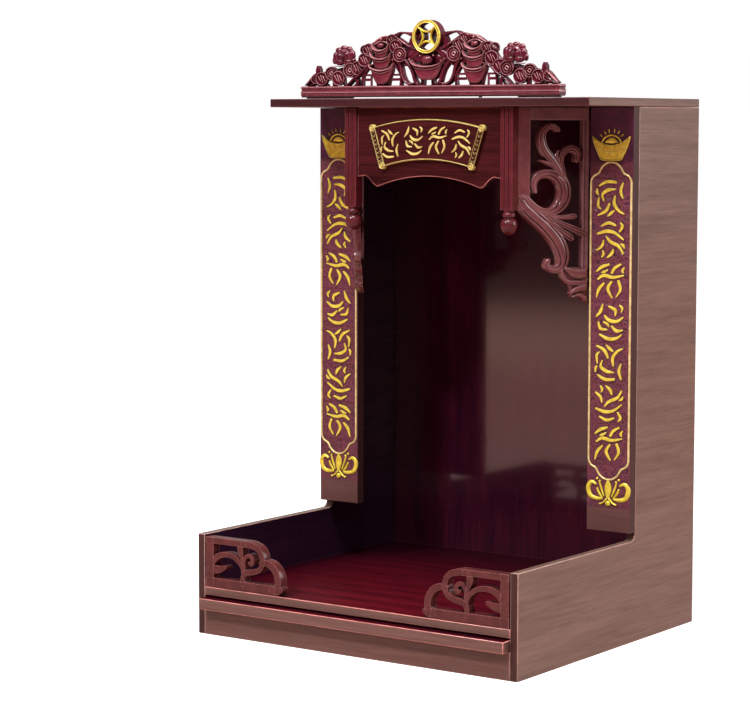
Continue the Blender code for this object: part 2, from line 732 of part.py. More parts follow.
def crest():
    place = panel_place((0, front + crest_setback, height + gap), across_x, towards_front)
    k, kv = crest_half_width / drawn_crest[0], crest_height / drawn_crest[1]
    mean = (k * kv) ** 0.5
    low = -crest_depth
    parts = [crest_bar(place)]
    # Both halves are drawn once, from the middle to the right end
    bands = {
        "branch": [(166, 12, 3), (150, 18, 5.5), (134, 23, 6), (104, 27, 6.5), (88, 36, 6.5),
                   (76, 51, 6.5), (58, 60, 6.5), (40, 62, 5.5), (24, 54, 5), (12, 47, 6)],
        "inner_stem": [(10, 46, 5), (20, 42, 3.6), (23, 34, 3.2), (17.5, 24, 3), (14.5, 12, 4)],
        "outer_stem": [(46, 42, 4), (38, 36, 3.4), (32, 27, 3), (24, 16, 3.2), (10, 13.5, 3)],
        "back_fill": [(84, 40, 5), (74, 30, 4), (72, 18, 3), (72, 10, 3)],
        "coin_stem": [(44, 58, 5), (38, 48, 6), (33, 38, 5)],
        "leg": [(88, 32, 4), (92, 20, 3), (90, 11, 4)],
        "outer_leg": [(112, 26, 4), (116, 18, 4), (114, 10, 5)],
    }
    for index, points in enumerate(bands.values()):
        for side in (1, -1):
            path = [(side * u * k, v * kv, half * mean) for u, v, half in points]
            step = (2 * index + side) * skin / 2
            parts.append(band("band", path, place, low, low * 0.35 + step))
    # Strings of coins, blossoms, upright buds, key frets and stacks of ingots on both sides
    coins = [(137, 20, 6.4, 0.2), (126, 26, 7.2, -0.5), (117, 19, 7.2, 0.5), (93, 31, 8.2, 0.1),
             (84, 42, 6.5, -0.5), (79, 51, 6.5, -0.3), (46, 60, 7.5, 0.4), (39, 57, 7.2, 0.5),
             (35, 47, 8.2, 0.1)]
    stack = ((15.8, 26.5, 7, 13.5, 0.2), (14.2, 37, 7, 9, 1.0), (10, 48, 7, 7.5, 1.8))
    for side in (1, -1):
        for index, (u, v, radius, lean) in enumerate(coins):
            centre = place(side * u * k, v * kv, -0.003 + 0.0004 * (index % 3))
            thick = crest_small_coin + 3 * skin * index
            parts.append(disc("coin", centre, radius * mean, thick, lean * side, 7))
        parts += flower(place, side * 109 * k, 43.5 * kv, 14 * k, 12 * kv, 5)
        stalk = [(side * 109 * k, 22 * kv, 5 * k), (side * 109 * k, 38 * kv, 4 * k)]
        parts.append(band("stalk", stalk, place, low, low * 0.2))
        bud = [(side * 144 * k, v * kv, half * k) for v, half in ((12, 3.2), (31, 3.2), (36.5, 1.2))]
        parts.append(band("bud", bud, place, low, low * 0.2))
        for start, end in ((70, 84), (30, 46)):
            for row, v in enumerate((19, 25)):
                bar = [(side * start * k, v * kv, 0.9 * kv), (side * end * k, v * kv, 0.9 * kv)]
                parts.append(band("fret", bar, place, low, low * 0.5 - row * skin))
            middle = (start + end) / 2 * side * k
            upright = [(middle, 10 * kv, 1.1 * k), (middle, 19 * kv, 1.1 * k)]
            parts.append(band("fret", upright, place, low, low * 0.5 - 2 * skin))
        for half, v, rise, belly, w in stack:
            parts.append(crest_ingot(place, side * 60, v, half, rise, belly, w))
        backing = [(side * 60 * k, v * kv, half * k) for v, half in ((11, 9), (30, 13), (52, 9), (60, 5))]
        parts.append(band("backing", backing, place, low, low * 0.46))
        parts.append(ball("pearl", place(side * 60 * k, 56 * kv, -0.001), (5 * k, 0.0042, 4.6 * kv)))
    # The middle: an ingot with its ball, and the great coin above
    parts.append(crest_ingot(place, 0, 29.5, 20, 9, 11.5, 1.4))
    foot = [(0, 10 * kv, 9 * k), (0, 20 * kv, 6 * k)]
    parts.append(band("foot", foot, place, low, low * 0.3))
    parts.append(ball("pearl", place(0, 38 * kv, -0.001), (7 * k, 0.0048, 6 * kv)))
    centre_v = crest_height - crest_coin_radius
    neck = [(0, 30 * kv, 15 * k), (0, centre_v - crest_coin_radius * 0.7, 14 * k)]
    parts.append(band("neck", neck, place, low, low * 0.42))
    parts += coin_ring(place, centre_v, 14)
    return fuse("crest", parts, moulding_red)


crest()
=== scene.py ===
# Household altar cabinet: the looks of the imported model. Carving is drawn in millimetres on flat panels
# (u along the panel, v up, w out of its face) and then put in its place in the cabinet.
import math

import bmesh
import bpy
from mathutils import Matrix, Vector


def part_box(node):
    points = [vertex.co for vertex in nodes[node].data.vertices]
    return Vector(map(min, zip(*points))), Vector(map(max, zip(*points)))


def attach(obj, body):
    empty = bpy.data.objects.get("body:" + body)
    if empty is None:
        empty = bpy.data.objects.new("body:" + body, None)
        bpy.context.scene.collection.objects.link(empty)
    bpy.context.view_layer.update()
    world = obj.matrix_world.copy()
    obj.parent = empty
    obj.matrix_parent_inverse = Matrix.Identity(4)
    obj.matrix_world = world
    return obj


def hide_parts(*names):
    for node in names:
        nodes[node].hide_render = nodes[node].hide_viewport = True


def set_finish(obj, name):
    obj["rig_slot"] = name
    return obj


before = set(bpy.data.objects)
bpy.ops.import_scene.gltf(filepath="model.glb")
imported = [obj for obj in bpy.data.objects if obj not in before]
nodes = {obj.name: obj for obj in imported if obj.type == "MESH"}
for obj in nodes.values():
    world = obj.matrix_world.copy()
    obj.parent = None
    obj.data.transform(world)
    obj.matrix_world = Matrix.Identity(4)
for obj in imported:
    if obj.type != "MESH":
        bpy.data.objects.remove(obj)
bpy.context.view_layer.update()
mm = 0.001
upward = Vector((0, 0, 1))
rightward = Vector((1, 0, 0))
forward = Vector((0, -1, 0))
print("frame loaded:", len(nodes), "nodes")


# Shader nodes and the node groups that several finishes share

def feed(tree, socket, value):
    # Gives a socket another node's output, a colour or a plain value
    if isinstance(value, bpy.types.NodeSocket):
        tree.links.new(value, socket)
    else:
        socket.default_value = (*value, 1.0) if socket.type == "RGBA" else value


def addNode(tree, kind, values=None, **settings):
    node = tree.nodes.new(kind)
    for key, value in settings.items():
        setattr(node, key, value)
    for label, value in (values or {}).items():
        feed(tree, node.inputs[label], value)
    return node


def mixColours(tree, factor, first, second):
    return addNode(tree, "ShaderNodeMix", {0: factor, 6: first, 7: second}, data_type="RGBA").outputs[2]


def calculate(tree, operation, first, second=0.0):
    return addNode(tree, "ShaderNodeMath", {0: first, 1: second}, operation=operation).outputs[0]


def product(tree, first, second):
    return calculate(tree, "MULTIPLY", first, second)


def spread(tree, value, low, high):
    # Runs from 0 at low to 1 at high
    values = {"Value": value, "From Min": low, "From Max": high}
    return addNode(tree, "ShaderNodeMapRange", values).outputs["Result"]


def objectPlace(tree):
    return addNode(tree, "ShaderNodeTexCoord").outputs["Object"]


def addNoise(tree, vector, scale, detail=3.0, roughness=0.55):
    # Noise with one scale for all axes or one for each
    scale = scale if isinstance(scale, tuple) else (scale,) * 3
    stretched = addNode(tree, "ShaderNodeMapping", {"Vector": vector, "Scale": scale}).outputs[0]
    values = {"Vector": stretched, "Scale": 1.0, "Detail": detail, "Roughness": roughness}
    return addNode(tree, "ShaderNodeTexNoise", values).outputs["Fac"]


def addOpenness(tree, reach, low, high):
    # 0 in the recesses, 1 where nothing stands near: the mask for painted shade
    shade = addNode(tree, "ShaderNodeAmbientOcclusion", {"Distance": reach}, samples=8)
    return spread(tree, shade.outputs["AO"], low, high)


def startGroup(name, inputs, outputs):
    group = bpy.data.node_groups.new(name, "ShaderNodeTree")
    for way, sockets in (("INPUT", inputs), ("OUTPUT", outputs)):
        for label, kind in sockets.items():
            group.interface.new_socket(label, in_out=way, socket_type="NodeSocket" + kind)
    return group, group.nodes.new("NodeGroupInput").outputs, group.nodes.new("NodeGroupOutput").inputs


# each noise has its scale along the grain and across it, its detail and its roughness
grain = {
    "bands": ((3.2, 60, 60), 5.0, 0.6), "streaks": ((20, 520, 520), 3.0, 0.7),
    "pores": ((60, 900, 900), 2.0, 0.7), "bandShare": 0.45, "streakShare": 0.55, "tones": (0.34, 0.66),
    "dots": (0.70, 0.76), "dotDark": 0.75, "dotColour": (0.01, 0.004, 0.004), "poreHeight": 0.25,
    "deep": 0.00006,
}


def makeGrainGroup():
    # Printed wood grain: broad bands, fine streaks and a few specks; the grain runs along the vector's X
    inputs = {"Vector": "Vector", "Dark": "Color", "Light": "Color", "Specks": "Float"}
    group, given, made = startGroup("filmGrain", inputs, {"Color": "Color", "Height": "Float"})
    bands, streaks, pores = (addNoise(group, given["Vector"], *grain[key])
                             for key in ("bands", "streaks", "pores"))
    fine = product(group, streaks, grain["streakShare"])
    total = calculate(group, "ADD", product(group, bands, grain["bandShare"]), fine)
    toned = mixColours(group, spread(group, total, *grain["tones"]), given["Dark"], given["Light"])
    dots = product(group, spread(group, pores, *grain["dots"]), given["Specks"])
    dark = mixColours(group, grain["dotDark"], given["Dark"], grain["dotColour"])
    feed(group, made["Color"], mixColours(group, dots, toned, dark))
    feed(group, made["Height"], calculate(group, "ADD", fine, product(group, pores, grain["poreHeight"])))
    return group


damask = {"warp": 90.0, "detail": 2.0, "bend": 0.012, "scale": 150.0, "rings": 26.0, "mask": (-0.2, 0.7)}


def makeDamaskGroup():
    # Low curling relief of a printed damask, as a mask and a height
    group, given, made = startGroup("damask", {"Vector": "Vector"}, {"Mask": "Float", "Height": "Float"})
    warp = {"Vector": given["Vector"], "Scale": damask["warp"], "Detail": damask["detail"]}
    warp = addNode(group, "ShaderNodeTexNoise", warp).outputs["Color"]
    bent = {0: warp, 1: (damask["bend"],) * 3, 2: given["Vector"]}
    bent = addNode(group, "ShaderNodeVectorMath", bent, operation="MULTIPLY_ADD").outputs[0]
    cells = addNode(group, "ShaderNodeTexVoronoi", {"Vector": bent, "Scale": damask["scale"]},
                    feature="DISTANCE_TO_EDGE")
    rings = calculate(group, "SINE", product(group, cells.outputs["Distance"], damask["rings"]))
    feed(group, made["Mask"], spread(group, rings, *damask["mask"]))
    feed(group, made["Height"], rings)
    return group


# where the painted highlight and the painted shade fall: how open a place is, how far it stands out, how
# sharply it turns
highlightAndShade = {"clear": (0.35, 0.92), "standing": (0.5, 0.53), "turned": (0.99, 0.90)}


def makeEdgeGroup():
    # Painted highlight: a lighter colour on edges that stand out; painted shade: darker in the recesses
    inputs = {"Radius": "Float", "Reach": "Float", "Color": "Color", "Edge": "Color", "Hollow": "Color",
              "Amount": "Float"}
    group, given, made = startGroup("edgeLight", inputs, {"Color": "Color"})
    geometry = addNode(group, "ShaderNodeNewGeometry").outputs
    rounded = addNode(group, "ShaderNodeBevel", {"Radius": given["Radius"]}, samples=6)
    match = addNode(group, "ShaderNodeVectorMath", {0: rounded.outputs[0], 1: geometry["Normal"]},
                    operation="DOT_PRODUCT")
    clear = addOpenness(group, given["Reach"], *highlightAndShade["clear"])
    standing = spread(group, geometry["Pointiness"], *highlightAndShade["standing"])
    turned = spread(group, match.outputs["Value"], *highlightAndShade["turned"])
    raised = product(group, product(group, turned, standing), product(group, clear, given["Amount"]))
    shaded = mixColours(group, clear, given["Hollow"], given["Color"])
    feed(group, made["Color"], mixColours(group, raised, shaded, given["Edge"]))
    return group


grainGroup = makeGrainGroup()
damaskGroup = makeDamaskGroup()
edgeGroup = makeEdgeGroup()


# Materials

def startMaterial(name, settings):
    material = bpy.data.materials.new(name)
    material.use_nodes = True
    tree = material.node_tree
    shader = tree.nodes["Principled BSDF"].inputs
    sheen = {"Roughness": settings["roughness"], "Metallic": settings.get("metallic", 0.0),
             "Coat Weight": settings.get("coat", 0.0), "Coat Roughness": settings.get("coatRoughness", 0.1),
             "Specular IOR Level": settings.get("specular", 0.5)}
    for label, value in sheen.items():
        shader[label].default_value = value
    return material, tree, shader


def addBump(tree, shader, height, deep, strength=1.0):
    bump = addNode(tree, "ShaderNodeBump", {"Height": height, "Distance": deep, "Strength": strength})
    feed(tree, shader["Normal"], bump.outputs[0])


def addGrain(tree, vector, dark, light, specks):
    values = {"Vector": vector, "Dark": dark, "Light": light, "Specks": specks}
    return addNode(tree, "ShaderNodeGroup", values, node_tree=grainGroup).outputs


grainTurns = {"x": (0, 0, 0), "y": (0, 0, math.pi / 2), "z": (0, math.pi / 2, 0)}


def filmMaterial(name, settings):
    # Board under a printed wood-grain film
    material, tree, shader = startMaterial(name, settings)
    turned = addNode(tree, "ShaderNodeMapping", {"Vector": objectPlace(tree),
                                                 "Rotation": grainTurns[settings["along"]]}).outputs[0]
    film = addGrain(tree, turned, settings["dark"], settings["light"], settings.get("specks", 0.3))
    colour = film["Color"]
    if "reach" in settings:  # painted shade: darker where walls stand round it
        clear = addOpenness(tree, settings["reach"], *settings["shaded"])
        colour = mixColours(tree, clear, settings["hollow"], colour)
    feed(tree, shader["Base Color"], colour)
    addBump(tree, shader, film["Height"], grain["deep"])
    return material


edgeHighlight = {"roughness": 0.25, "uneven": 70, "blend": (0.35, 0.6), "darker": 0.62}


def edgeMaterial(name, colour):
    # The rounded edge of a filmed board in a colour of its own, lighter as a painted highlight on most
    # boards, a little uneven along its length
    material, tree, shader = startMaterial(name, edgeHighlight)
    uneven = spread(tree, addNoise(tree, objectPlace(tree), edgeHighlight["uneven"]), *edgeHighlight["blend"])
    darker = tuple(value * edgeHighlight["darker"] for value in colour)
    feed(tree, shader["Base Color"], mixColours(tree, uneven, darker, colour))
    return material


def carvedMaterial(name, settings):
    # Mottled resin or gilding with a painted highlight on raised edges, painted shade in the recesses, and
    # fine pits
    material, tree, shader = startMaterial(name, settings)
    place = objectPlace(tree)
    mottle = spread(tree, addNoise(tree, place, *settings["mottle"]), *settings["blend"])
    values = {"Color": mixColours(tree, mottle, settings["deep"], settings["base"])}
    # edge is the painted highlight colour, hollow the painted shade colour
    for key in ("edge", "hollow", "amount", "radius", "reach"):
        values[key.capitalize()] = settings[key]
    edge = addNode(tree, "ShaderNodeGroup", values, node_tree=edgeGroup)
    feed(tree, shader["Base Color"], edge.outputs["Color"])
    addBump(tree, shader, addNoise(tree, place, *settings["pits"]), settings["pitDeep"])
    return material


coupletFilm = {
    "ground": (0.040, 0.004, 0.022), "purple": (0.078, 0.009, 0.044), "relief": (0.220, 0.050, 0.062),
    "contrast": 0.7, "cloud": 55, "clouding": (0.4, 0.62), "bump": (0.00012, 0.7), "roughness": 0.34,
    "coat": 0.1,
    # heights between which the damask runs, in metres
    "from": (0.143, 0.150), "to": (0.516, 0.510),
    # hollow and openness give the painted shadow round the gilt strokes and frame
    "plain": ((0.066, 0.022, 0.021), (0.118, 0.046, 0.042), 0.2), "hollow": (0.010, 0.001, 0.003),
    "openness": (0.003, 0.45, 0.90),
}


def coupletMaterial(name, settings):
    # Maroon ground with a damask relief between two heights, plain grained board below them, and painted
    # shadow round the gilding that stands on it
    material, tree, shader = startMaterial(name, settings)
    place = objectPlace(tree)
    height = addNode(tree, "ShaderNodeSeparateXYZ", {0: place}).outputs["Z"]
    pattern = addNode(tree, "ShaderNodeGroup", {"Vector": place}, node_tree=damaskGroup).outputs
    cloud = spread(tree, addNoise(tree, place, settings["cloud"]), *settings["clouding"])
    ground = mixColours(tree, cloud, settings["ground"], settings["purple"])
    mask = product(tree, pattern["Mask"], settings["contrast"])
    relief = mixColours(tree, mask, ground, settings["relief"])
    risen = spread(tree, height, *settings["from"])
    inside = product(tree, risen, spread(tree, height, *settings["to"]))
    plain = addGrain(tree, place, *settings["plain"])["Color"]
    whole = mixColours(tree, inside, mixColours(tree, risen, plain, ground), relief)
    # painted shadow round the strokes and frame that stand on the ground
    clear = addOpenness(tree, *settings["openness"])
    feed(tree, shader["Base Color"], mixColours(tree, clear, settings["hollow"], whole))
    addBump(tree, shader, product(tree, pattern["Height"], inside), *settings["bump"])
    return material


# one mahogany film on most boards, coloured by how light falls on each face: lighter with a painted sheen on
# the outer side faces, painted shade on the inner faces, lighter on the low fronts as painted light from
# below
films = {
    "sideFilm": {"along": "y", "dark": (0.106, 0.057, 0.043), "light": (0.222, 0.131, 0.104),
                 "roughness": 0.34, "coat": 0.1, "coatRoughness": 0.2, "specks": 0.6},
    "frontFilm": {"along": "x", "dark": (0.110, 0.050, 0.042), "light": (0.200, 0.098, 0.082),
                  "roughness": 0.38, "specks": 0.4},
    "stripFilm": {"along": "z", "dark": (0.036, 0.012, 0.012), "light": (0.066, 0.024, 0.022),
                  "roughness": 0.38, "specular": 0.3},
    "topFilm": {"along": "x", "dark": (0.030, 0.006, 0.009), "light": (0.055, 0.014, 0.018),
                "roughness": 0.30},
    "innerFilm": {"along": "y", "dark": (0.016, 0.005, 0.016), "light": (0.036, 0.010, 0.030),
                  "roughness": 0.24, "specular": 0.3},
    "backFilm": {"along": "z", "dark": (0.010, 0.002, 0.009), "light": (0.062, 0.006, 0.016),
                 "roughness": 0.11, "coat": 0.8, "coatRoughness": 0.055},
    # the floor film darkens towards the walls round it: painted shade in the niche
    "floorFilm": {"along": "x", "dark": (0.024, 0.001, 0.004), "light": (0.135, 0.006, 0.013),
                  "roughness": 0.42, "specular": 0.03, "specks": 0.4, "reach": 0.32, "shaded": (0.30, 0.96),
                  "hollow": (0.011, 0.0008, 0.004)},
    "headerFilm": {"along": "x", "dark": (0.016, 0.002, 0.003), "light": (0.070, 0.010, 0.012),
                   "roughness": 0.3, "specular": 0.12},
}
# colours of the rounded board edges: all but the back panel's are lighter than the films, a painted highlight
edges = {"pinkEdge": (0.80, 0.30, 0.27), "brownEdge": (0.50, 0.29, 0.25), "dullEdge": (0.145, 0.042, 0.052),
         "darkEdge": (0.018, 0.003, 0.005)}
# what the resins and the golds have in common, where one doesn't say otherwise
resin = {"mottle": (75, 4.0), "blend": (0.35, 0.65), "pits": (420, 2.0), "pitDeep": 0.00005, "radius": 0.0007,
         "reach": 0.004, "amount": 0.6, "roughness": 0.24, "coat": 0.1, "specular": 0.35}
gold = {"mottle": (160, 3.0), "blend": (0.38, 0.62), "pits": (160, 3.0), "pitDeep": 0.0001, "radius": 0.0004,
        "reach": 0.002, "amount": 0.9, "roughness": 0.28, "metallic": 0.2}
# in each finish, edge is a painted highlight colour and hollow a painted shade colour; deep and base are its
# own mottled tones
carved = {
    "postResin": {**resin, "deep": (0.070, 0.008, 0.012), "base": (0.105, 0.013, 0.019),
                  "edge": (0.36, 0.10, 0.12), "hollow": (0.012, 0.001, 0.002)},
    "coinResin": {**resin, "deep": (0.062, 0.003, 0.012), "base": (0.125, 0.008, 0.025),
                  "edge": (0.50, 0.18, 0.23), "hollow": (0.010, 0.0005, 0.003), "amount": 0.9,
                  "roughness": 0.20, "specular": 0.3, "reach": 0.005},
    # lighter than the other resins: painted light for the ingots, whose bellies face down
    "crestResin": {**resin, "deep": (0.110, 0.010, 0.024), "base": (0.180, 0.026, 0.044),
                   "edge": (0.62, 0.30, 0.33), "hollow": (0.010, 0.0005, 0.003), "amount": 0.9,
                   "roughness": 0.20, "coat": 0.2, "specular": 0.4, "reach": 0.006},
    # a pale copy of the crest's red for its lips, rims, beads and thin lines: a painted highlight
    "crestEdge": {**resin, "deep": (0.34, 0.11, 0.13), "base": (0.52, 0.22, 0.24), "edge": (0.80, 0.50, 0.50),
                  "hollow": (0.05, 0.006, 0.010), "roughness": 0.22, "coat": 0.3, "specular": 0.5},
    "bracketResin": {**resin, "deep": (0.125, 0.033, 0.038), "base": (0.176, 0.052, 0.058),
                     "edge": (0.46, 0.20, 0.21), "hollow": (0.010, 0.001, 0.003), "amount": 0.8,
                     "roughness": 0.22, "coat": 0.5, "specular": 0.4, "reach": 0.005},
    # lighter than the carving's resin: painted light for the top rail, which stands in shade under the top
    # board
    "railResin": {**resin, "deep": (0.130, 0.052, 0.060), "base": (0.180, 0.078, 0.088),
                  "edge": (0.36, 0.15, 0.17), "hollow": (0.020, 0.004, 0.006), "coat": 0.2},
    "fretResin": {**resin, "deep": (0.080, 0.017, 0.017), "base": (0.120, 0.026, 0.026),
                  "edge": (0.50, 0.22, 0.22), "hollow": (0.020, 0.002, 0.004), "amount": 0.8,
                  "roughness": 0.26, "specular": 0.3, "radius": 0.0009},
    "leafGold": {**gold, "deep": (0.72, 0.55, 0.050), "base": (0.95, 0.79, 0.090), "edge": (1.0, 0.96, 0.52),
                 "hollow": (0.10, 0.06, 0.006), "metallic": 0.3, "radius": 0.0005, "reach": 0.0025},
    "frameGold": {**gold, "deep": (0.62, 0.47, 0.17), "base": (0.86, 0.73, 0.34), "edge": (1.0, 0.95, 0.72),
                  "hollow": (0.14, 0.07, 0.02)},
    "plaqueGold": {**gold, "deep": (0.60, 0.46, 0.11), "base": (0.84, 0.70, 0.22), "edge": (1.0, 0.94, 0.62),
                   "hollow": (0.12, 0.06, 0.012)},
}
finishes = {"coupletGround": coupletMaterial("coupletGround", coupletFilm)}
for make, wanted in ((filmMaterial, films), (edgeMaterial, edges), (carvedMaterial, carved)):
    finishes.update({name: make(name, settings) for name, settings in wanted.items()})
print("materials made:", len(bpy.data.materials))


# Shells that the carving is made of

tipAngles = (25, 48, 68, 84)
leastWidth = 0.06  # share of a band's half width that its cross-section always keeps
softProfile = ((0, 0.8), (0.3, 0.25), (1, 0))  # shares of a softened edge: how far in, how far down


def smoothPath(points, steps=4):
    # A smooth line through points of any number of values
    path = []
    last = len(points) - 1
    for index in range(last):
        near = (points[max(index - 1, 0)], points[index], points[index + 1], points[min(index + 2, last)])
        for step in range(steps):
            t = step / steps
            path.append(tuple(0.5 * (2 * b + (c - a) * t + (2 * a - 5 * b + 4 * c - d) * t * t
                                     + (3 * b - a - 3 * c + d) * t ** 3) for a, b, c, d in zip(*near)))
    path.append(tuple(points[-1]))
    return path


def roundEnds(path, dome=False):
    # Narrows both ends of a path to a round tip, which also sinks where a dome is wanted
    def tip(end, inner):
        u, v, half = end[:3]
        lift = end[3] if len(end) > 3 else 1.0
        run = Vector((u - inner[0], v - inner[1])).normalized() * half
        turns = [(math.sin(math.radians(angle)), math.cos(math.radians(angle))) for angle in tipAngles]
        return [(u + run.x * out, v + run.y * out, half * narrow, lift * narrow if dome else lift)
                for out, narrow in turns]
    return tip(path[0], path[1])[::-1] + list(path) + tip(path[-1], path[-2])


# A cross-section is a row of (share of the half width, how far in from there, height)

def twoSided(side):
    return side + [(-share, inset, w) for share, inset, w in reversed(side)]


def flatSection(low, high, soft):
    # A flat band with softened edges
    return twoSided([(1, 0, low)] + [(1, soft * inset, high - soft * drop) for inset, drop in softProfile])


def rollSection(low, high, steps=8):
    # A half-round band
    shares = [math.cos(math.pi * step / steps) for step in range(steps + 1)]
    arch = [(share, 0.0, high * max(0.0, 1 - share ** 2) ** 0.5) for share in shares]
    return [(1, 0.0, low)] + arch + [(-1, 0.0, low)]


def ringShell(rings, closed=False):
    # Extrudes a face from ring to ring; a closed shell joins its last ring to its first
    shell = bmesh.new()
    firstRing = [shell.verts.new(point) for point in rings[0]]
    cap = shell.faces.new(firstRing)
    for ring in rings[1:]:
        cap = bmesh.ops.extrude_discrete_faces(shell, faces=[cap])["faces"][0]
        for vert, point in zip(cap.verts, ring):
            vert.co = point
    if closed:
        lastEdges = list(cap.edges)
        bmesh.ops.delete(shell, geom=[cap], context="FACES_ONLY")
        firstEdges = [edge for edge in shell.edges if edge.is_boundary and edge not in lastEdges]
        bmesh.ops.bridge_loops(shell, edges=firstEdges + lastEdges)
    else:
        shell.faces.new(firstRing)
    bmesh.ops.recalc_face_normals(shell, faces=shell.faces)
    return shell


def sweepShell(path, section, closed=False):
    # A cross-section drawn along (u, v, half width, lift)
    count = len(path)

    def corners(index):
        before = path[(index - 1) % count] if closed else path[max(index - 1, 0)]
        after = path[(index + 1) % count] if closed else path[min(index + 1, count - 1)]
        run = Vector((after[0] - before[0], after[1] - before[1], 0)).normalized()
        side = Vector((-run.y, run.x, 0))
        u, v, half = path[index][:3]
        lift = path[index][3] if len(path[index]) > 3 else 1.0
        return [Vector((u, v, w * lift if w > 0 else w)) + side * share * max(half - inset, half * leastWidth)
                for share, inset, w in section]
    return ringShell([corners(index) for index in range(count)], closed)


def bandShell(points, low, high, steps=4, roundness=8):
    # A carved half-round band through a few points
    return sweepShell(roundEnds(smoothPath(points, steps), True), rollSection(low, high, roundness))


def shapedBand(points, section, steps):
    # The same with a cross-section of its own
    return sweepShell(roundEnds(smoothPath(points, steps)), section)


def railBand(start, end, half, section):
    return sweepShell([(*start, half), (*end, half)], section)


def softenEdges(shell, cornerEdges, radius, segments, clamp=True):
    return bmesh.ops.bevel(shell, geom=cornerEdges, offset=radius, offset_type="OFFSET", affect="EDGES",
                           segments=segments, profile=0.5, material=-1, clamp_overlap=clamp)["faces"]


def plateShell(outline, low, high, soft=0.0, segments=2):
    # A flat shape with softened front edges
    shell = bmesh.new()
    face = shell.faces.new([shell.verts.new((u, v, low)) for u, v in outline])
    grown = bmesh.ops.extrude_face_region(shell, geom=[face])["geom"]
    bmesh.ops.translate(shell, verts=[g for g in grown if isinstance(g, bmesh.types.BMVert)],
                        vec=(0, 0, high - low))
    if soft:
        top = [g for g in grown if isinstance(g, bmesh.types.BMFace)][0]
        softenEdges(shell, list(top.edges), soft, segments)
    bmesh.ops.recalc_face_normals(shell, faces=shell.faces)
    return shell


def spunShell(profile, segments, matrix=None):
    # A turned shape from (radius, height) pairs about its own upright axis
    shell = bmesh.new()
    chain = [shell.verts.new((radius, 0, rise)) for radius, rise in profile]
    sides = [shell.edges.new(pair) for pair in zip(chain, chain[1:])]
    bmesh.ops.spin(shell, geom=chain + sides, cent=(0, 0, 0), axis=upward, angle=2 * math.pi, steps=segments,
                   use_merge=True)
    bmesh.ops.remove_doubles(shell, verts=shell.verts, dist=1e-5)
    if matrix:
        bmesh.ops.transform(shell, matrix=matrix, verts=shell.verts)
    bmesh.ops.recalc_face_normals(shell, faces=shell.faces)
    return shell


def ballShell(u, v, w, radii, segments=20):
    shell = bmesh.new()
    matrix = Matrix.Translation((u, v, w)) @ Matrix.Diagonal((*radii, 1.0))
    bmesh.ops.create_uvsphere(shell, u_segments=segments, v_segments=segments // 2 + 2, radius=1.0,
                              matrix=matrix)
    return shell


def panelMatrix(origin, along, out):
    # Puts a panel's u, v and w into the cabinet
    turn = Matrix((Vector(along), upward, Vector(out))).transposed()
    return Matrix.Translation(origin) @ (turn * mm).to_4x4()


def roundOutline(u, v, radius, turns):
    angles = [2 * math.pi * turn / turns for turn in range(turns)]
    return [(u + radius * math.cos(angle), v + radius * math.sin(angle)) for angle in angles]


def sided(points, side):
    # The points of the right half, or with a side of -1 their mirror images
    return [(side * u, *rest) for u, *rest in points]


def mirroredPath(points):
    # Carries a path that ends in the middle on to its mirror image
    return list(points) + sided(points[:-1], -1)[::-1]


# Pieces that stand where their CAD nodes do

plainFace = 1.2e-4  # square metres: a broader face is shaded flat
sharpEdge = 38  # degrees


def finishPiece(name, bm, materials, slot, node=None, body="cabinet", sharp=sharpEdge):
    mesh = bpy.data.meshes.new(name)
    bm.to_mesh(mesh)
    bm.free()
    mesh.shade_smooth()
    mesh.set_sharp_from_angle(angle=math.radians(sharp))
    for polygon in mesh.polygons:
        polygon.use_smooth = polygon.area < plainFace
    for material in materials:
        mesh.materials.append(finishes[material])
    piece = bpy.data.objects.new(name, mesh)
    bpy.context.scene.collection.objects.link(piece)
    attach(piece, body)
    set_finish(piece, slot)
    if node:
        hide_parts(node)
    return piece


def addPiece(name, shells, materials, slot, place, node=None):
    # Joins shells into one piece
    joined = bmesh.new()
    for shell in shells:
        spare = bpy.data.meshes.new("spare")
        shell.to_mesh(spare)
        joined.from_mesh(spare)
        bpy.data.meshes.remove(spare)
        shell.free()
    bmesh.ops.transform(joined, matrix=place, verts=joined.verts)
    if place.determinant() < 0:
        bmesh.ops.reverse_faces(joined, faces=joined.faces)
    return finishPiece(name, joined, materials, slot, node)


def mirrorPiece(piece, node=None):
    # The same piece on the cabinet's left side
    bm = bmesh.new()
    bm.from_mesh(piece.data)
    bmesh.ops.scale(bm, vec=(-1, 1, 1), verts=bm.verts)
    bmesh.ops.reverse_faces(bm, faces=bm.faces)
    materials = [material.name for material in piece.data.materials]
    finishPiece(piece.name.replace("right", "left"), bm, materials, piece["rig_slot"],
                node and node.replace("right", "left"))


def addPair(name, shells, materials, slot, place, node=None):
    mirrorPiece(addPiece(name, shells, materials, slot, place, node), node)


# Boards: each CAD board again, with rounded edges that catch the light and mostly carry a painted highlight
# colour

usualBoard = {"slot": "mahogany_film", "face": "frontFilm", "edge": "brownEdge", "body": "cabinet"}
sidePanel = {"face": "sideFilm", "inner": "innerFilm", "front": "stripFilm"}
# faces turned another way take another colour of the film: the side film with painted light and sheen outside
# and on the top board's ends, painted shade on the inner faces
boards = {
    "side_panel_right": sidePanel,
    "side_panel_left": sidePanel,
    "back_panel": {"slot": "dark_film", "face": "backFilm", "edge": "darkEdge"},
    "top_board": {"face": "topFilm", "edge": "dullEdge", "leftEnd": "sideFilm", "rightEnd": "sideFilm"},
    "floor_board": {"slot": "floor_film", "face": "floorFilm", "edge": "pinkEdge", "front": "frontFilm"},
    "plinth_board": {},
    "pull_out_board": {"edge": "pinkEdge", "body": "pull_out", "top": "floorFilm"},
    "header_board": {"slot": "floor_film", "face": "headerFilm", "edge": "pinkEdge"},
    "runner_left": {},
    "runner_right": {},
}
# metres and degrees; how near points are joined, how flat faces are merged
boardEdge = {"radius": 0.0007, "segments": 2, "corner": 30, "near": 1e-6, "flat": 0.01, "sharp": 60,
             "facing": 0.9}


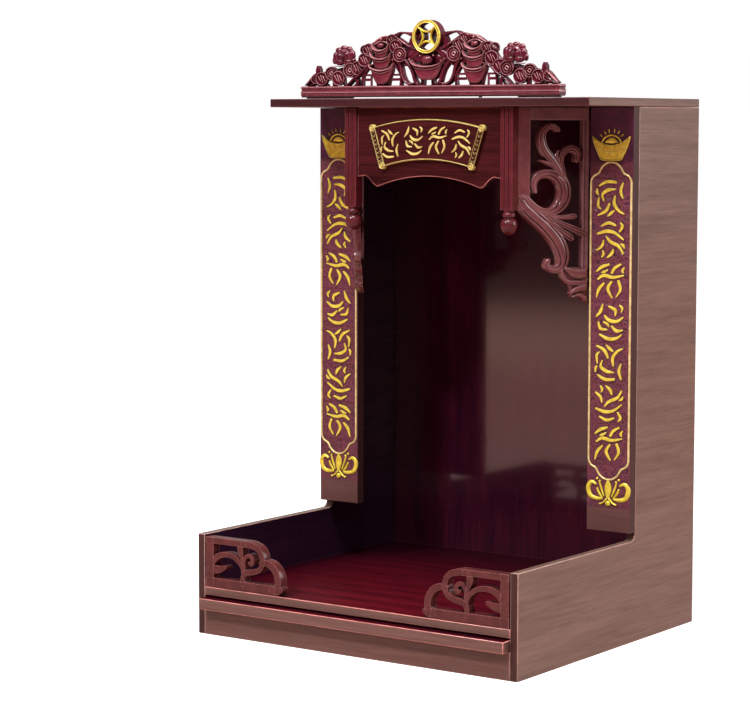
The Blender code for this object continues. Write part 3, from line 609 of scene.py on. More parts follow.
def dressBoard(node, settings):
    bm = bmesh.new()
    bm.from_mesh(nodes[node].data)
    bmesh.ops.remove_doubles(bm, verts=bm.verts, dist=boardEdge["near"])
    bmesh.ops.dissolve_limit(bm, angle_limit=boardEdge["flat"], verts=bm.verts, edges=bm.edges)
    corner = math.radians(boardEdge["corner"])
    rounded = softenEdges(bm, [edge for edge in bm.edges if edge.calc_face_angle(0) > corner],
                          boardEdge["radius"], boardEdge["segments"], False)
    # faces turned inward, forward, up or to an end take other colours of the film, painted light and shade
    # among them
    inward = -rightward if node.endswith("right") else rightward
    facing = {"inner": inward, "front": forward, "top": upward, "leftEnd": -rightward, "rightEnd": rightward}
    materials = [settings["face"], settings["edge"]]
    for key, way in facing.items():
        if key in settings:
            for face in bm.faces:
                if face.normal.dot(way) > boardEdge["facing"]:
                    face.material_index = len(materials)
            materials.append(settings[key])
    # the rounded edges take the edge colour, on most boards a painted highlight
    for face in rounded:
        face.material_index = 1
    board = finishPiece(node + "_board", bm, materials, settings["slot"], node, settings["body"],
                        boardEdge["sharp"])
    for polygon in board.data.polygons:
        polygon.use_smooth = polygon.material_index == 1


for node, settings in boards.items():
    dressBoard(node, {**usualBoard, **settings})
print("boards dressed:", len(boards))


# Couplet boards with their gilt frame line, ingot, lotus and strokes

couplet = {
    "front": 0.045, "middle": 0.1785, "bottom": 0.119, "width": 0.053, "thick": 0.0117, "top": 0.5717,
    "soft": 0.7,
    "shoulder": ((24.4, 21.0), (23.6, 18.0), (21.6, 15.2), (19.0, 13.6), (15.8, 12.2), (14.2, 10.2),
                 (12.6, 7.2), (10.2, 4.2), (6.6, 1.6), (3.2, 0.4)),
    "frameBottom": 56.0, "frameTop": 394.7, "line": 1.2, "lineHigh": 1.25, "cells": 7, "margin": 17.0,
    "sign": (17.0, 18.4), "signHigh": 1.2, "seam": (22.5, 0.35, 0.3), "ingotUp": 17.5,
}
sunk = -0.2  # how deep the relief is let into its ground
ingot = {
    "flank": ((22.3, 8.8), (20.6, 2.4), (17.4, -5.2), (13.6, -11.6), (9.8, -15.4)),
    "lip": ((-13, 2.6), (-6, 0.4), (0, -0.2)), "high": 1.5, "soft": 1.1, "hull": (0.75, 2.1),
    # how high and in how many steps each raised line is drawn, and its left half
    "lines": (
        (2.6, 4, ((-22.5, 9.2, 0.6), (-13, 2.8, 0.9), (0, -0.4, 1.0))),
        (2.0, 4, ((-17, -1.0, 0.5), (-8, -5.6, 0.7), (0, -7.0, 0.7))),
        (1.5, 3, ((-11.5, 3.2, 0.9), (-9, 7.2, 1.0), (-5, 9.8, 1.0), (0, 10.8, 1.0))),
        (1.1, 3, ((-7.5, 3.0, 0.8), (-3.5, 4.6, 2.6), (0, 5.0, 3.2))),
    ),
    # the rays' middles and their lean in degrees; half a ray's length, half its width and its height
    "rays": ((-12.5, 10.3, 140), (-8, 13.3, 122), (-3, 15.3, 100), (3.5, 15.3, 80), (8.5, 13.8, 58),
             (13, 10.8, 40)),
    "ray": (1.5, 0.55, 0.9),
}
lotus = {
    "bud": ((0, 0.2, 0.8, 0.7), (0, -6, 3.8, 1.1), (0, -12, 4.2, 1.2), (0, -19, 2.2, 1.0)), "budHigh": 1.7,
    "drop": (0, -25.5, 0.2, (3.3, 3.3, 1.8)), "scrollHigh": 1.5,
    "scrolls": (
        ((15, -5.5, 1.3), (20, -3.6, 2.2), (24, -7.5, 2.6), (24.2, -13, 2.8), (21, -19, 2.6),
         (14.5, -21, 2.3), (8, -20.5, 1.6)),
        ((13, -10, 1.2), (11.2, -14, 1.6), (7, -19.5, 1.2)),
        ((10.5, -2, 0.9), (8.8, -8, 1.3), (5, -17.5, 1.2)),
        ((1.5, -20.5, 1.3), (5.4, -24.6, 1.2), (9.5, -26.8, 0.9)),
    ),
    "beads": ((13.2, 0.6, 1.5), (9.8, -1.6, 1.2), (9.6, -26.4, 1.2)), "beadUp": 0.3, "beadHigh": 1.3,
}


def liftShells(shells, v):
    for shell in shells:
        bmesh.ops.translate(shell, verts=shell.verts, vec=(0, v, 0))
    return shells


def gildedFrame():
    line, top, bottom = couplet["line"], couplet["frameTop"], couplet["frameBottom"]
    half = [(0, top)] + [(u, top - drop) for u, drop in reversed(couplet["shoulder"])]
    half += [(u, bottom + drop) for u, drop in couplet["shoulder"]] + [(0, bottom)]
    path = mirroredPath([(u, v, line) for u, v in half])[:-1]
    return sweepShell(path, rollSection(sunk, couplet["lineHigh"], 6), True)


def gildedIngot():
    # The ingot over the frame: its body, the raised rims, a domed middle and rays
    flank, (hullHalf, hullHigh), (length, half, high) = ingot["flank"], ingot["hull"], ingot["ray"]
    body = list(flank) + sided(flank, -1)[::-1] + mirroredPath(ingot["lip"])
    hull = [(u, v, hullHalf) for u, v in sided(flank, -1) + list(flank[::-1])]
    shells = [plateShell(body, sunk, ingot["high"], ingot["soft"], 3), bandShell(hull, sunk, hullHigh, 3)]
    shells += [bandShell(mirroredPath(points), sunk, rise, steps) for rise, steps, points in ingot["lines"]]
    for u, v, lean in ingot["rays"]:
        du, dv = math.cos(math.radians(lean)) * length, math.sin(math.radians(lean)) * length
        shells.append(bandShell([(u - du, v - dv, half), (u + du, v + dv, half)], sunk, high, 2))
    return shells


def gildedLotus():
    # The lotus under the frame, from its bud to the scrolls on both sides
    shells = [bandShell(lotus["bud"], sunk, lotus["budHigh"]), ballShell(*lotus["drop"])]
    for side in (1, -1):
        shells += [bandShell(sided(points, side), sunk, lotus["scrollHigh"]) for points in lotus["scrolls"]]
        shells += [ballShell(u, v, lotus["beadUp"], (radius, radius, lotus["beadHigh"]), 14)
                   for u, v, radius in sided(lotus["beads"], side)]
    return shells


# Brush strokes in a block that runs from -1 to 1 both ways: (u, v, share of the brush's width). They are no
# letters: each is a short curve of its own.
strokeBlocks = (
    (((-0.75, 0.98, 0.6), (-0.35, 0.78, 1.0), (-0.15, 0.5, 0.9)),
     ((0.1, 0.95, 0.7), (0.6, 0.8, 1.1), (0.95, 0.55, 0.5)),
     ((-0.95, 0.35, 0.5), (-0.2, 0.22, 1.0), (0.45, 0.32, 1.1), (0.85, 0.1, 0.6)),
     ((-0.6, 0.0, 0.9), (-0.75, -0.45, 1.0), (-0.45, -0.9, 0.4)),
     ((-0.1, -0.05, 0.7), (0.15, -0.45, 1.1), (-0.15, -0.95, 0.5)),
     ((0.45, -0.15, 0.7), (0.8, -0.5, 1.1), (0.95, -0.95, 0.4)),
     ((-1.0, 0.8, 0.5), (-0.88, 0.62, 0.9), (-0.95, 0.5, 0.4)),
     ((0.2, 0.62, 0.5), (0.42, 0.52, 0.9), (0.6, 0.48, 0.4))),
    (((-0.2, 1.0, 0.5), (0.1, 0.78, 1.1), (0.2, 0.55, 0.6)),
     ((-0.95, 0.6, 0.5), (-0.6, 0.35, 1.0), (-0.5, 0.05, 0.5)),
     ((0.9, 0.75, 0.6), (0.6, 0.35, 1.0), (0.0, 0.1, 1.0), (-0.3, -0.2, 0.4)),
     ((-0.9, -0.35, 0.7), (-0.3, -0.5, 1.1), (0.3, -0.42, 0.9), (0.9, -0.05, 0.5)),
     ((-0.65, -0.8, 0.5), (-0.15, -0.98, 1.0), (0.35, -0.85, 0.6)),
     ((0.65, -0.5, 0.6), (0.85, -0.8, 1.0), (0.7, -1.0, 0.4)),
     ((-0.6, 0.98, 0.5), (-0.48, 0.8, 0.9), (-0.55, 0.64, 0.4)),
     ((0.75, 0.22, 0.5), (0.92, 0.3, 0.9), (1.0, 0.44, 0.4))),
    (((-0.85, 0.9, 0.6), (-0.7, 0.45, 1.0), (-0.85, 0.05, 0.5)),
     ((-0.35, 0.95, 0.8), (0.3, 0.98, 1.0), (0.8, 0.75, 0.6)),
     ((-0.3, 0.55, 0.5), (0.2, 0.5, 1.1), (0.6, 0.25, 0.9), (0.5, -0.1, 0.5)),
     ((-0.3, 0.15, 0.6), (-0.25, -0.3, 1.1), (-0.6, -0.7, 0.8), (-0.95, -0.85, 0.4)),
     ((0.1, -0.3, 0.7), (0.35, -0.7, 1.1), (0.9, -0.95, 0.5)),
     ((0.85, 0.05, 0.5), (0.9, -0.4, 0.9), (0.7, -0.6, 0.4)),
     ((0.98, 0.56, 0.5), (0.98, 0.36, 0.9), (0.88, 0.22, 0.4)),
     ((-0.25, -0.68, 0.5), (-0.02, -0.82, 1.0), (0.2, -1.0, 0.4))),
    (((-0.5, 1.0, 0.5), (-0.65, 0.6, 1.1), (-0.95, 0.3, 0.5)),
     ((-0.05, 0.9, 0.6), (0.4, 0.7, 1.1), (0.4, 0.4, 0.5)),
     ((-0.35, 0.35, 0.6), (-0.05, 0.1, 1.1), (0.5, 0.05, 1.0), (0.95, 0.3, 0.5)),
     ((-0.8, -0.05, 0.6), (-0.65, -0.4, 1.0), (-0.2, -0.45, 0.5)),
     ((0.15, -0.25, 0.6), (0.5, -0.5, 1.1), (0.9, -0.45, 0.5)),
     ((-0.7, -0.75, 0.6), (-0.1, -0.98, 1.1), (0.5, -0.92, 0.9), (0.85, -0.7, 0.4)),
     ((0.72, 0.98, 0.5), (0.9, 0.82, 0.9), (0.84, 0.62, 0.4)),
     ((-0.42, -0.02, 0.5), (-0.16, -0.12, 0.9), (-0.05, -0.26, 0.4))),
)
brush = {"soft": 0.55, "half": 1.7}


def strokeSign(index, centreU, centreV, halfWidth, halfHeight, high, half=brush["half"]):
    # One block of curved brush strokes; the blocks take turns, mirrored and upended
    across = 1 if index % 2 else -1
    upended = -1 if index % 3 == 2 else 1
    section = flatSection(sunk, high, brush["soft"])
    return [shapedBand([(centreU + across * a * halfWidth, centreV + upended * b * halfHeight, half * share)
                        for a, b, share in points], section, 4)
            for points in strokeBlocks[index % len(strokeBlocks)]]


def addCouplets():
    place = panelMatrix((couplet["middle"], couplet["front"], couplet["bottom"]), rightward, forward)
    half, rise = couplet["width"] / 2 / mm, (couplet["top"] - couplet["bottom"]) / mm
    outline = [(-half, 0), (half, 0), (half, rise), (-half, rise)]
    ground = plateShell(outline, -couplet["thick"] / mm, 0, couplet["soft"])
    board = addPiece("couplet_right_board", [ground], ["coupletGround", "stripFilm"], "couplet_film", place,
                     "couplet_board_right")
    for face in board.data.polygons:
        if abs(face.normal.x) > boardEdge["facing"]:
            face.material_index = 1
    mirrorPiece(board, "couplet_board_right")
    addPair("couplet_right_frame", [gildedFrame()], ["frameGold"], "gilding", place)
    top, bottom, margin = couplet["frameTop"], couplet["frameBottom"], couplet["margin"]
    cell = (top - bottom - 2 * margin) / couplet["cells"]
    shells = liftShells(gildedIngot(), top + couplet["ingotUp"]) + liftShells(gildedLotus(), bottom)
    for index in range(couplet["cells"]):
        middle = bottom + margin + cell * (index + 0.5)
        shells += strokeSign(index, 0, middle, *couplet["sign"], couplet["signHigh"])
    addPair("couplet_right_gilding", shells, ["leafGold"], "gilding", place)
    reach, thin, high = couplet["seam"]
    levels = [bottom + margin + cell * index for index in range(couplet["cells"] + 1)]
    seams = [bandShell([(-reach, v, thin), (reach, v, thin)], sunk, high, 1) for v in levels]
    addPair("couplet_right_seams", seams, ["postResin"], "couplet_film", place)


addCouplets()
print("couplet boards carved")


# Corner fretworks: flat pierced mouldings with softened edges, lighter in a painted highlight colour

fretwork = {
    "origin": (0.1945, -0.178, 0.0526), "length": 104.5, "rise": 55.0, "thick": 11.0, "stile": 10.5,
    "bottomRail": 10.5, "bottomShare": 0.9, "topRail": 7.0, "topShare": 0.53, "soft": 0.9,
    # each band ends a little lower and starts a little deeper than the last, so that no two faces meet
    "lower": 0.03, "deeper": 0.04, "clear": 0.05, "thinner": 0.02, "railLower": (0.02, 0.04),
    "bands": (
        ((52, 51.4, 3.5), (60, 51.2, 3.7), (66, 50, 3.4), (71, 48, 3.3), (75, 44, 3.2), (77.5, 37, 3.2),
         (76.5, 30, 3), (73, 25.5, 3), (67, 22.8, 3), (60, 21.3, 3.2), (53.5, 19.4, 3), (50.3, 14, 2.8),
         (51, 8, 3)),
        ((76, 33.4, 3), (82, 33.8, 3.4), (88, 31.8, 3.8), (93.5, 27.6, 4), (97.2, 21, 4), (98.4, 13, 4),
         (96.5, 6.4, 4.4)),
        ((92, 4.4, 4.3), (97.4, 4.6, 4.2), (101.2, 6.8, 3.2)),
        ((8, 27, 4), (12, 31.8, 3.7), (17, 34.9, 3.3), (23, 37, 3), (29, 37.4, 2.8), (36, 36.4, 2.8),
         (42, 33.8, 2.8), (47, 29.8, 2.8), (50.6, 24.6, 2.8), (51.8, 17, 2.8)),
        ((8, 20, 5), (15, 20, 4.4), (21, 21, 3.2), (26, 23.4, 2.2)),
        ((48, 50, 3.4), (47, 45, 3.9), (48.2, 39, 2.9), (50, 33.5, 1.8), (51, 30, 1.0)),
        ((51.5, 25, 2.4), (51.3, 31, 2.3), (54, 37, 2.2), (58.4, 39.4, 2.2), (62, 37.8, 2.3),
         (63.8, 34, 2.4), (62.4, 30.6, 2.4), (59.6, 31.4, 1.8)),
    ),
}


def addFretworks():
    thick, soft, clear = fretwork["thick"], fretwork["soft"], fretwork["clear"]
    stile, rise, length = fretwork["stile"] / 2, fretwork["rise"], fretwork["length"]
    bottom, top = fretwork["bottomRail"] / 2, fretwork["topRail"] / 2
    shells = [railBand((stile, 0), (stile, rise), stile, flatSection(-thick, 0, soft))]
    rails = ((bottom, bottom, fretwork["bottomShare"]), (rise - top, top, fretwork["topShare"]))
    for (v, half, share), lower in zip(rails, fretwork["railLower"]):
        section = flatSection(clear - thick, -lower, soft)
        shells.append(railBand((clear, v), (length * share, v), half - fretwork["thinner"], section))
    for step, points in enumerate(fretwork["bands"], 2):
        section = flatSection(fretwork["deeper"] * step - thick, -fretwork["lower"] * step, soft)
        shells.append(shapedBand(points, section, 3))
    place = panelMatrix(fretwork["origin"], -rightward, forward)
    addPair("fretwork_right", shells, ["fretResin"], "red_moulding", place, "corner_fretwork_right")


addFretworks()
print("fretworks carved")


# Splayed scroll brackets

bracket = {
    "near": (0.1082, -0.0277), "far": (0.1517, 0.043), "top": 0.5717, "thick": 8.0, "soft": 0.7,
    "frontStile": 14.0, "frontDown": 108, "topRail": 14.0, "backStile": 6.8, "backDown": 190,
    # how far the stiles and the rail run on past the mitres that trim them
    "over": 18.0,
    # grooves: how far in from the edge and how wide, on broad bands, on narrow ones and on the back stile
    "broad": 5.5, "broadGroove": (2.9, 1.5), "narrowGroove": (1.5, 1.0), "stileGroove": (1.6, 2.0, 0.9),
    "grooveDeep": 1.1, "higher": 0.03, "railLower": 0.05, "stileLower": 0.1,
    # a carved band's rim: how far in, how far down; its grooves' floor, and how it rises in the middle
    "rim": ((0, 1.3), (0.4, 0.45), (1.2, 0)), "floor": (0.35, 0.65), "middle": (0.25, 0.5),
    "bands": (
        ((20, -88, 3), (18.6, -82, 4), (21, -75.5, 4.2), (27, -71.2, 4.4), (37, -70.3, 5),
         (46, -73.6, 6.2), (52.6, -79.6, 7.2), (55.4, -88, 7.8), (54, -98, 7.6), (48.5, -105.6, 6.2),
         (42, -109.6, 5), (34, -111, 4.4), (22, -107.4, 4.6), (8, -96, 5)),
        ((54, -77, 5), (49, -66, 4.4), (40, -55, 5), (33.4, -48, 5), (29.6, -41, 4.8), (28, -32, 4.4),
         (30, -25.6, 3.8), (35, -21.4, 3.3), (41, -20.3, 3), (46, -23.6, 3.2)),
        ((53, -70, 4), (50.5, -60, 3.6), (51.6, -52, 3.5), (55.6, -46.4, 3.6), (62, -44, 3.8),
         (68, -45.6, 4.1), (71, -50, 4), (69.6, -55.5, 3.2)),
        ((50, -64, 3), (46.5, -58, 3), (45, -53, 2.8), (47, -46.5, 1)),
        ((50, -70, 3), (45, -64.6, 3), (38, -60.4, 2.8), (27, -56.5, 0.9)),
        ((5, -99, 7), (10, -106.6, 7.6), (17, -113, 8), (31, -124, 8), (43, -136, 8.4), (49.4, -145, 8.4),
         (53.4, -154, 8), (54, -162, 7), (51.6, -168, 5.6), (46.6, -171.4, 4.6), (40, -171, 4),
         (35.4, -167.4, 3.6), (36.4, -162.4, 2.8)),
        ((34, -114, 3), (50, -116.5, 2.5), (66.5, -115.5, 3.2)),
        ((36, -117, 3), (56, -125, 3.4), (79, -134, 4)),
        ((36, -120, 3), (50, -130, 3.4), (62.5, -138, 4)),
    ),
    "footHigh": -1.4,
    "foot": (
        (50.5, -172), (52.5, -179), (57, -186), (63, -188.6), (64, -193), (63, -198), (67, -201.6),
        (73, -200.6), (78, -205.6), (84, -209.6), (84, -171), (58, -169.6),
    ),
    "leafHigh": 1.0, "leafHigher": 0.3,
    "footLeaves": (
        ((52, -173, 1.6), (54.5, -180, 2.2), (59.5, -185.4, 2.4), (68, -186.4, 2.6), (84, -186.6, 2.8)),
        ((58, -171.4, 2.6), (66, -176, 4.4), (75, -177, 5.0), (84, -176, 5.2)),
        ((64.6, -196.6, 1.6), (68, -194.4, 3.0), (74, -192.4, 3.4), (84, -191.6, 3.6)),
        ((66, -200.6, 1.2), (73, -199.4, 2.2), (79, -202.4, 2.6), (84, -204.6, 3.0)),
    ),
}


def groovedSection(low, high, inset, wide, deep):
    # A carved band: rounded edges, two grooves that follow them, and a raised middle
    share, proud = bracket["middle"]
    rim = [(1, reach, high - drop) for reach, drop in bracket["rim"]]
    floor = [(1, inset + wide * across, high - deep) for across in bracket["floor"]]
    return twoSided([(1, 0, low)] + rim + [(1, inset, high)] + floor
                    + [(1, inset + wide, high), (share, 0, high + proud)])


def cutToMitre(piece, planes):
    bm = bmesh.new()
    bm.from_mesh(piece.data)
    for point, normal in planes:
        cut = bmesh.ops.bisect_plane(bm, geom=bm.verts[:] + bm.edges[:] + bm.faces[:], dist=1e-7,
                                     plane_co=point, plane_no=normal, clear_outer=True)
        rim = [item for item in cut["geom_cut"] if isinstance(item, bmesh.types.BMEdge)]
        bmesh.ops.holes_fill(bm, edges=rim, sides=0)
    bm.to_mesh(piece.data)
    bm.free()


def addBrackets():
    near, far = (Vector((*bracket[end], bracket["top"])) for end in ("near", "far"))
    along = (far - near).normalized()
    length = (far - near).length / mm
    thick, soft, over = bracket["thick"], bracket["soft"], bracket["over"]
    front, rail, back = bracket["frontStile"], bracket["topRail"] / 2, bracket["backStile"]
    middle = length + (over - back) / 2
    rails = [
        railBand((-over, -rail), (length + over, -rail), rail,
                 flatSection(-thick, -bracket["railLower"], soft)),
        railBand((middle, 0), (middle, -bracket["backDown"]), (back + over) / 2,
                 groovedSection(-thick, -bracket["stileLower"], *bracket["stileGroove"])),
    ]
    middle = (front - over) / 2
    shells = [
        railBand((middle, 0), (middle, -bracket["frontDown"]), (front + over) / 2,
                 flatSection(-thick, 0, soft)),
        plateShell(bracket["foot"], -thick, bracket["footHigh"], soft),
    ]
    for step, points in enumerate(bracket["footLeaves"]):
        shells.append(bandShell(points, -thick, bracket["leafHigh"] + bracket["leafHigher"] * step))
    for step, points in enumerate(bracket["bands"], 1):
        isBroad = max(half for u, v, half in points) > bracket["broad"]
        groove = bracket["broadGroove" if isBroad else "narrowGroove"]
        section = groovedSection(-thick, bracket["higher"] * step, *groove, bracket["grooveDeep"])
        shells.append(shapedBand(points, section, 3))
    place = panelMatrix(near, along, (along.y, -along.x, 0))
    for part, forms, material, node in (("carving", shells, "bracketResin", "bracket_right"),
                                        ("rails", rails, "railResin", None)):
        piece = addPiece("bracket_right_" + part, forms, [material], "red_moulding", place, node)
        cutToMitre(piece, ((near, forward), (far, rightward)))
        mirrorPiece(piece, node)


addBrackets()
print("brackets carved")


# Posts with flutes and a turned finial

post = {
    "width": 15.0, "depth": 12.0, "length": 108.0, "corner": 0.5, "soft": 0.3,
    "flute": 1.9, "fluteDeep": 1.1, "places": (0.34, 0.68), "finial": (9.2, 26.5),
    # shares of the finial's radius and height, from the post's foot down
    "turning": ((0, -0.04), (0.62, -0.04), (0.62, 0.10), (0.74, 0.14), (0.78, 0.20), (0.74, 0.26),
                (0.58, 0.29), (0.56, 0.33), (0.76, 0.37), (0.90, 0.44), (0.98, 0.53), (1.0, 0.62),
                (0.96, 0.71), (0.86, 0.80), (0.70, 0.89), (0.46, 0.96), (0, 1.0)),
}


def addPosts():
    low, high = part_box("post_right")
    centre = ((low.x + high.x) / 2, (low.y + high.y) / 2, high.z)
    w, d, corner = post["width"] / 2, post["depth"] / 2, post["corner"]
    outline = [(corner - w, -d)]
    for share in post["places"]:
        for step in (-1, -0.5, 0, 0.5, 1):
            across = post["width"] * share + step * post["flute"] / 2 - w
            outline.append((across, post["fluteDeep"] * (1 - step * step) - d))
    outline += [(w - corner, -d), (w, corner - d), (w, d - corner), (w - corner, d), (corner - w, d),
                (-w, d - corner), (-w, corner - d)]
    shaft = plateShell(outline, -post["length"], 0, post["soft"], 1)
    radius, rise = post["finial"]
    profile = [(radius * out, -post["length"] - rise * down) for out, down in post["turning"]]
    place = Matrix.Translation(centre) @ Matrix.Scale(mm, 4)
    shells = [shaft, spunShell(profile, 32)]
    addPair("post_right_turned", shells, ["postResin"], "red_moulding", place, "post_right")


addPosts()
print("posts turned")


# Header plaque: a gilt fan-shaped outline with four signs on a maroon ground

plaque = {
    "back": -0.0373, "top": 0.572, "thick": 3.5, "soft": 0.4, "halfTop": 74.2, "halfBottom": 61.2,
    "crown": 13.0, "corner": 23.0, "rise": 43.8, "barRise": 0.92, "bar": 7.5, "line": 0.95, "barLine": 0.7,
    "arcHigh": 1.3, "arcDeep": 1.5, "lineHigh": 1.4, "curlHigh": 1.2,
    "signs": (-46.5, -16, 15, 45), "sign": (12.0, 14.6), "signHigh": 1.2, "signHalf": 1.25, "signRise": 0.52,
    # beads along a bar: (share of their lean, share of the bar's run, half width)
    "beads": 8, "lean": 1.7,
    "curl": ((-1, -0.035, 0.35), (0, 0.012, 0.55), (1, -0.02, 0.5), (0.5, -0.045, 0.35)),
    # the knobs' profile: share of the radius, height above the ground
    "knob": 4.0, "turning": ((0, 1.9), (0.22, 1.7), (0.38, 0.6), (0.62, 0.6), (0.8, 1.5), (1, 0.4)),
}


def fanArc(crown, corner, halfWidth, steps=36):
    sag = corner - crown
    radius = (halfWidth ** 2 + sag ** 2) / (2 * sag)
    reach = math.asin(halfWidth / radius)
    turns = [reach * (2 * step / steps - 1) for step in range(steps + 1)]
    return [(radius * math.sin(turn), -crown - radius * (1 - math.cos(turn))) for turn in turns]


def addPlaque():
    place = panelMatrix((0, plaque["back"], plaque["top"]), rightward, forward)
    bar, line, thick, soft = plaque["bar"] / 2, plaque["line"], plaque["thick"], plaque["soft"]
    halfTop, halfBottom = plaque["halfTop"] - bar, plaque["halfBottom"] - bar
    bow = plaque["corner"] - plaque["crown"]
    upper = fanArc(plaque["crown"] + line, plaque["corner"], halfTop)
    low = plaque["crown"] + plaque["rise"] - line
    lower = fanArc(low, low + bow * plaque["halfBottom"] / plaque["halfTop"], halfBottom)
    grounds = [plateShell(upper + lower[::-1], 0, thick, soft)]
    section = rollSection(thick - plaque["arcDeep"], thick + plaque["arcHigh"], 6)
    shells = [sweepShell([(u, v, line) for u, v in arc], section) for arc in (upper, lower)]
    knob = [(plaque["knob"] * share, thick + rise) for share, rise in plaque["turning"]]
    knob += [(plaque["knob"], 0), (0, 0)]
    for side in (1, -1):
        head = Vector((side * halfTop, -plaque["corner"]))
        foot = Vector((side * halfBottom, -plaque["corner"] - plaque["rise"] * plaque["barRise"]))
        grounds.append(railBand(head, foot, bar, flatSection(0, thick + 0.1, soft)))
        run, across = foot - head, Vector((head.y - foot.y, foot.x - head.x)).normalized()
        for edge in (-1, 1):
            reach = across * edge * (bar - plaque["barLine"])
            section = rollSection(0, thick + plaque["lineHigh"], 6)
            shells.append(railBand(head + reach, foot + reach, plaque["barLine"], section))
        for bead in range(plaque["beads"]):
            middle = head + run * (bead + 1) / (plaque["beads"] + 1)
            lean = across * (plaque["lean"] if bead % 2 else -plaque["lean"])
            curl = [(*(middle + lean * out + run * down), half) for out, down, half in plaque["curl"]]
            shells.append(bandShell(curl, 0, thick + plaque["curlHigh"], 2))
        shells += [spunShell(knob, 24, Matrix.Translation((*end, 0))) for end in (head, foot)]
    addPiece("plaque_ground", grounds, ["headerFilm"], "floor_film", place)
    for index, u in enumerate(plaque["signs"], 2):
        v = -(plaque["crown"] + plaque["rise"] * plaque["signRise"]) - bow * (u / plaque["halfTop"]) ** 2
        shells += strokeSign(index, u, v, *plaque["sign"], thick + plaque["signHigh"], plaque["signHalf"])
    addPiece("plaque_gilding", shells, ["plaqueGold"], "gilding", place, "header_plaque")


addPlaque()
print("plaque gilded")


# Crest: a moulded bar with coins, ingots and blossoms on curling stems, and the great coin

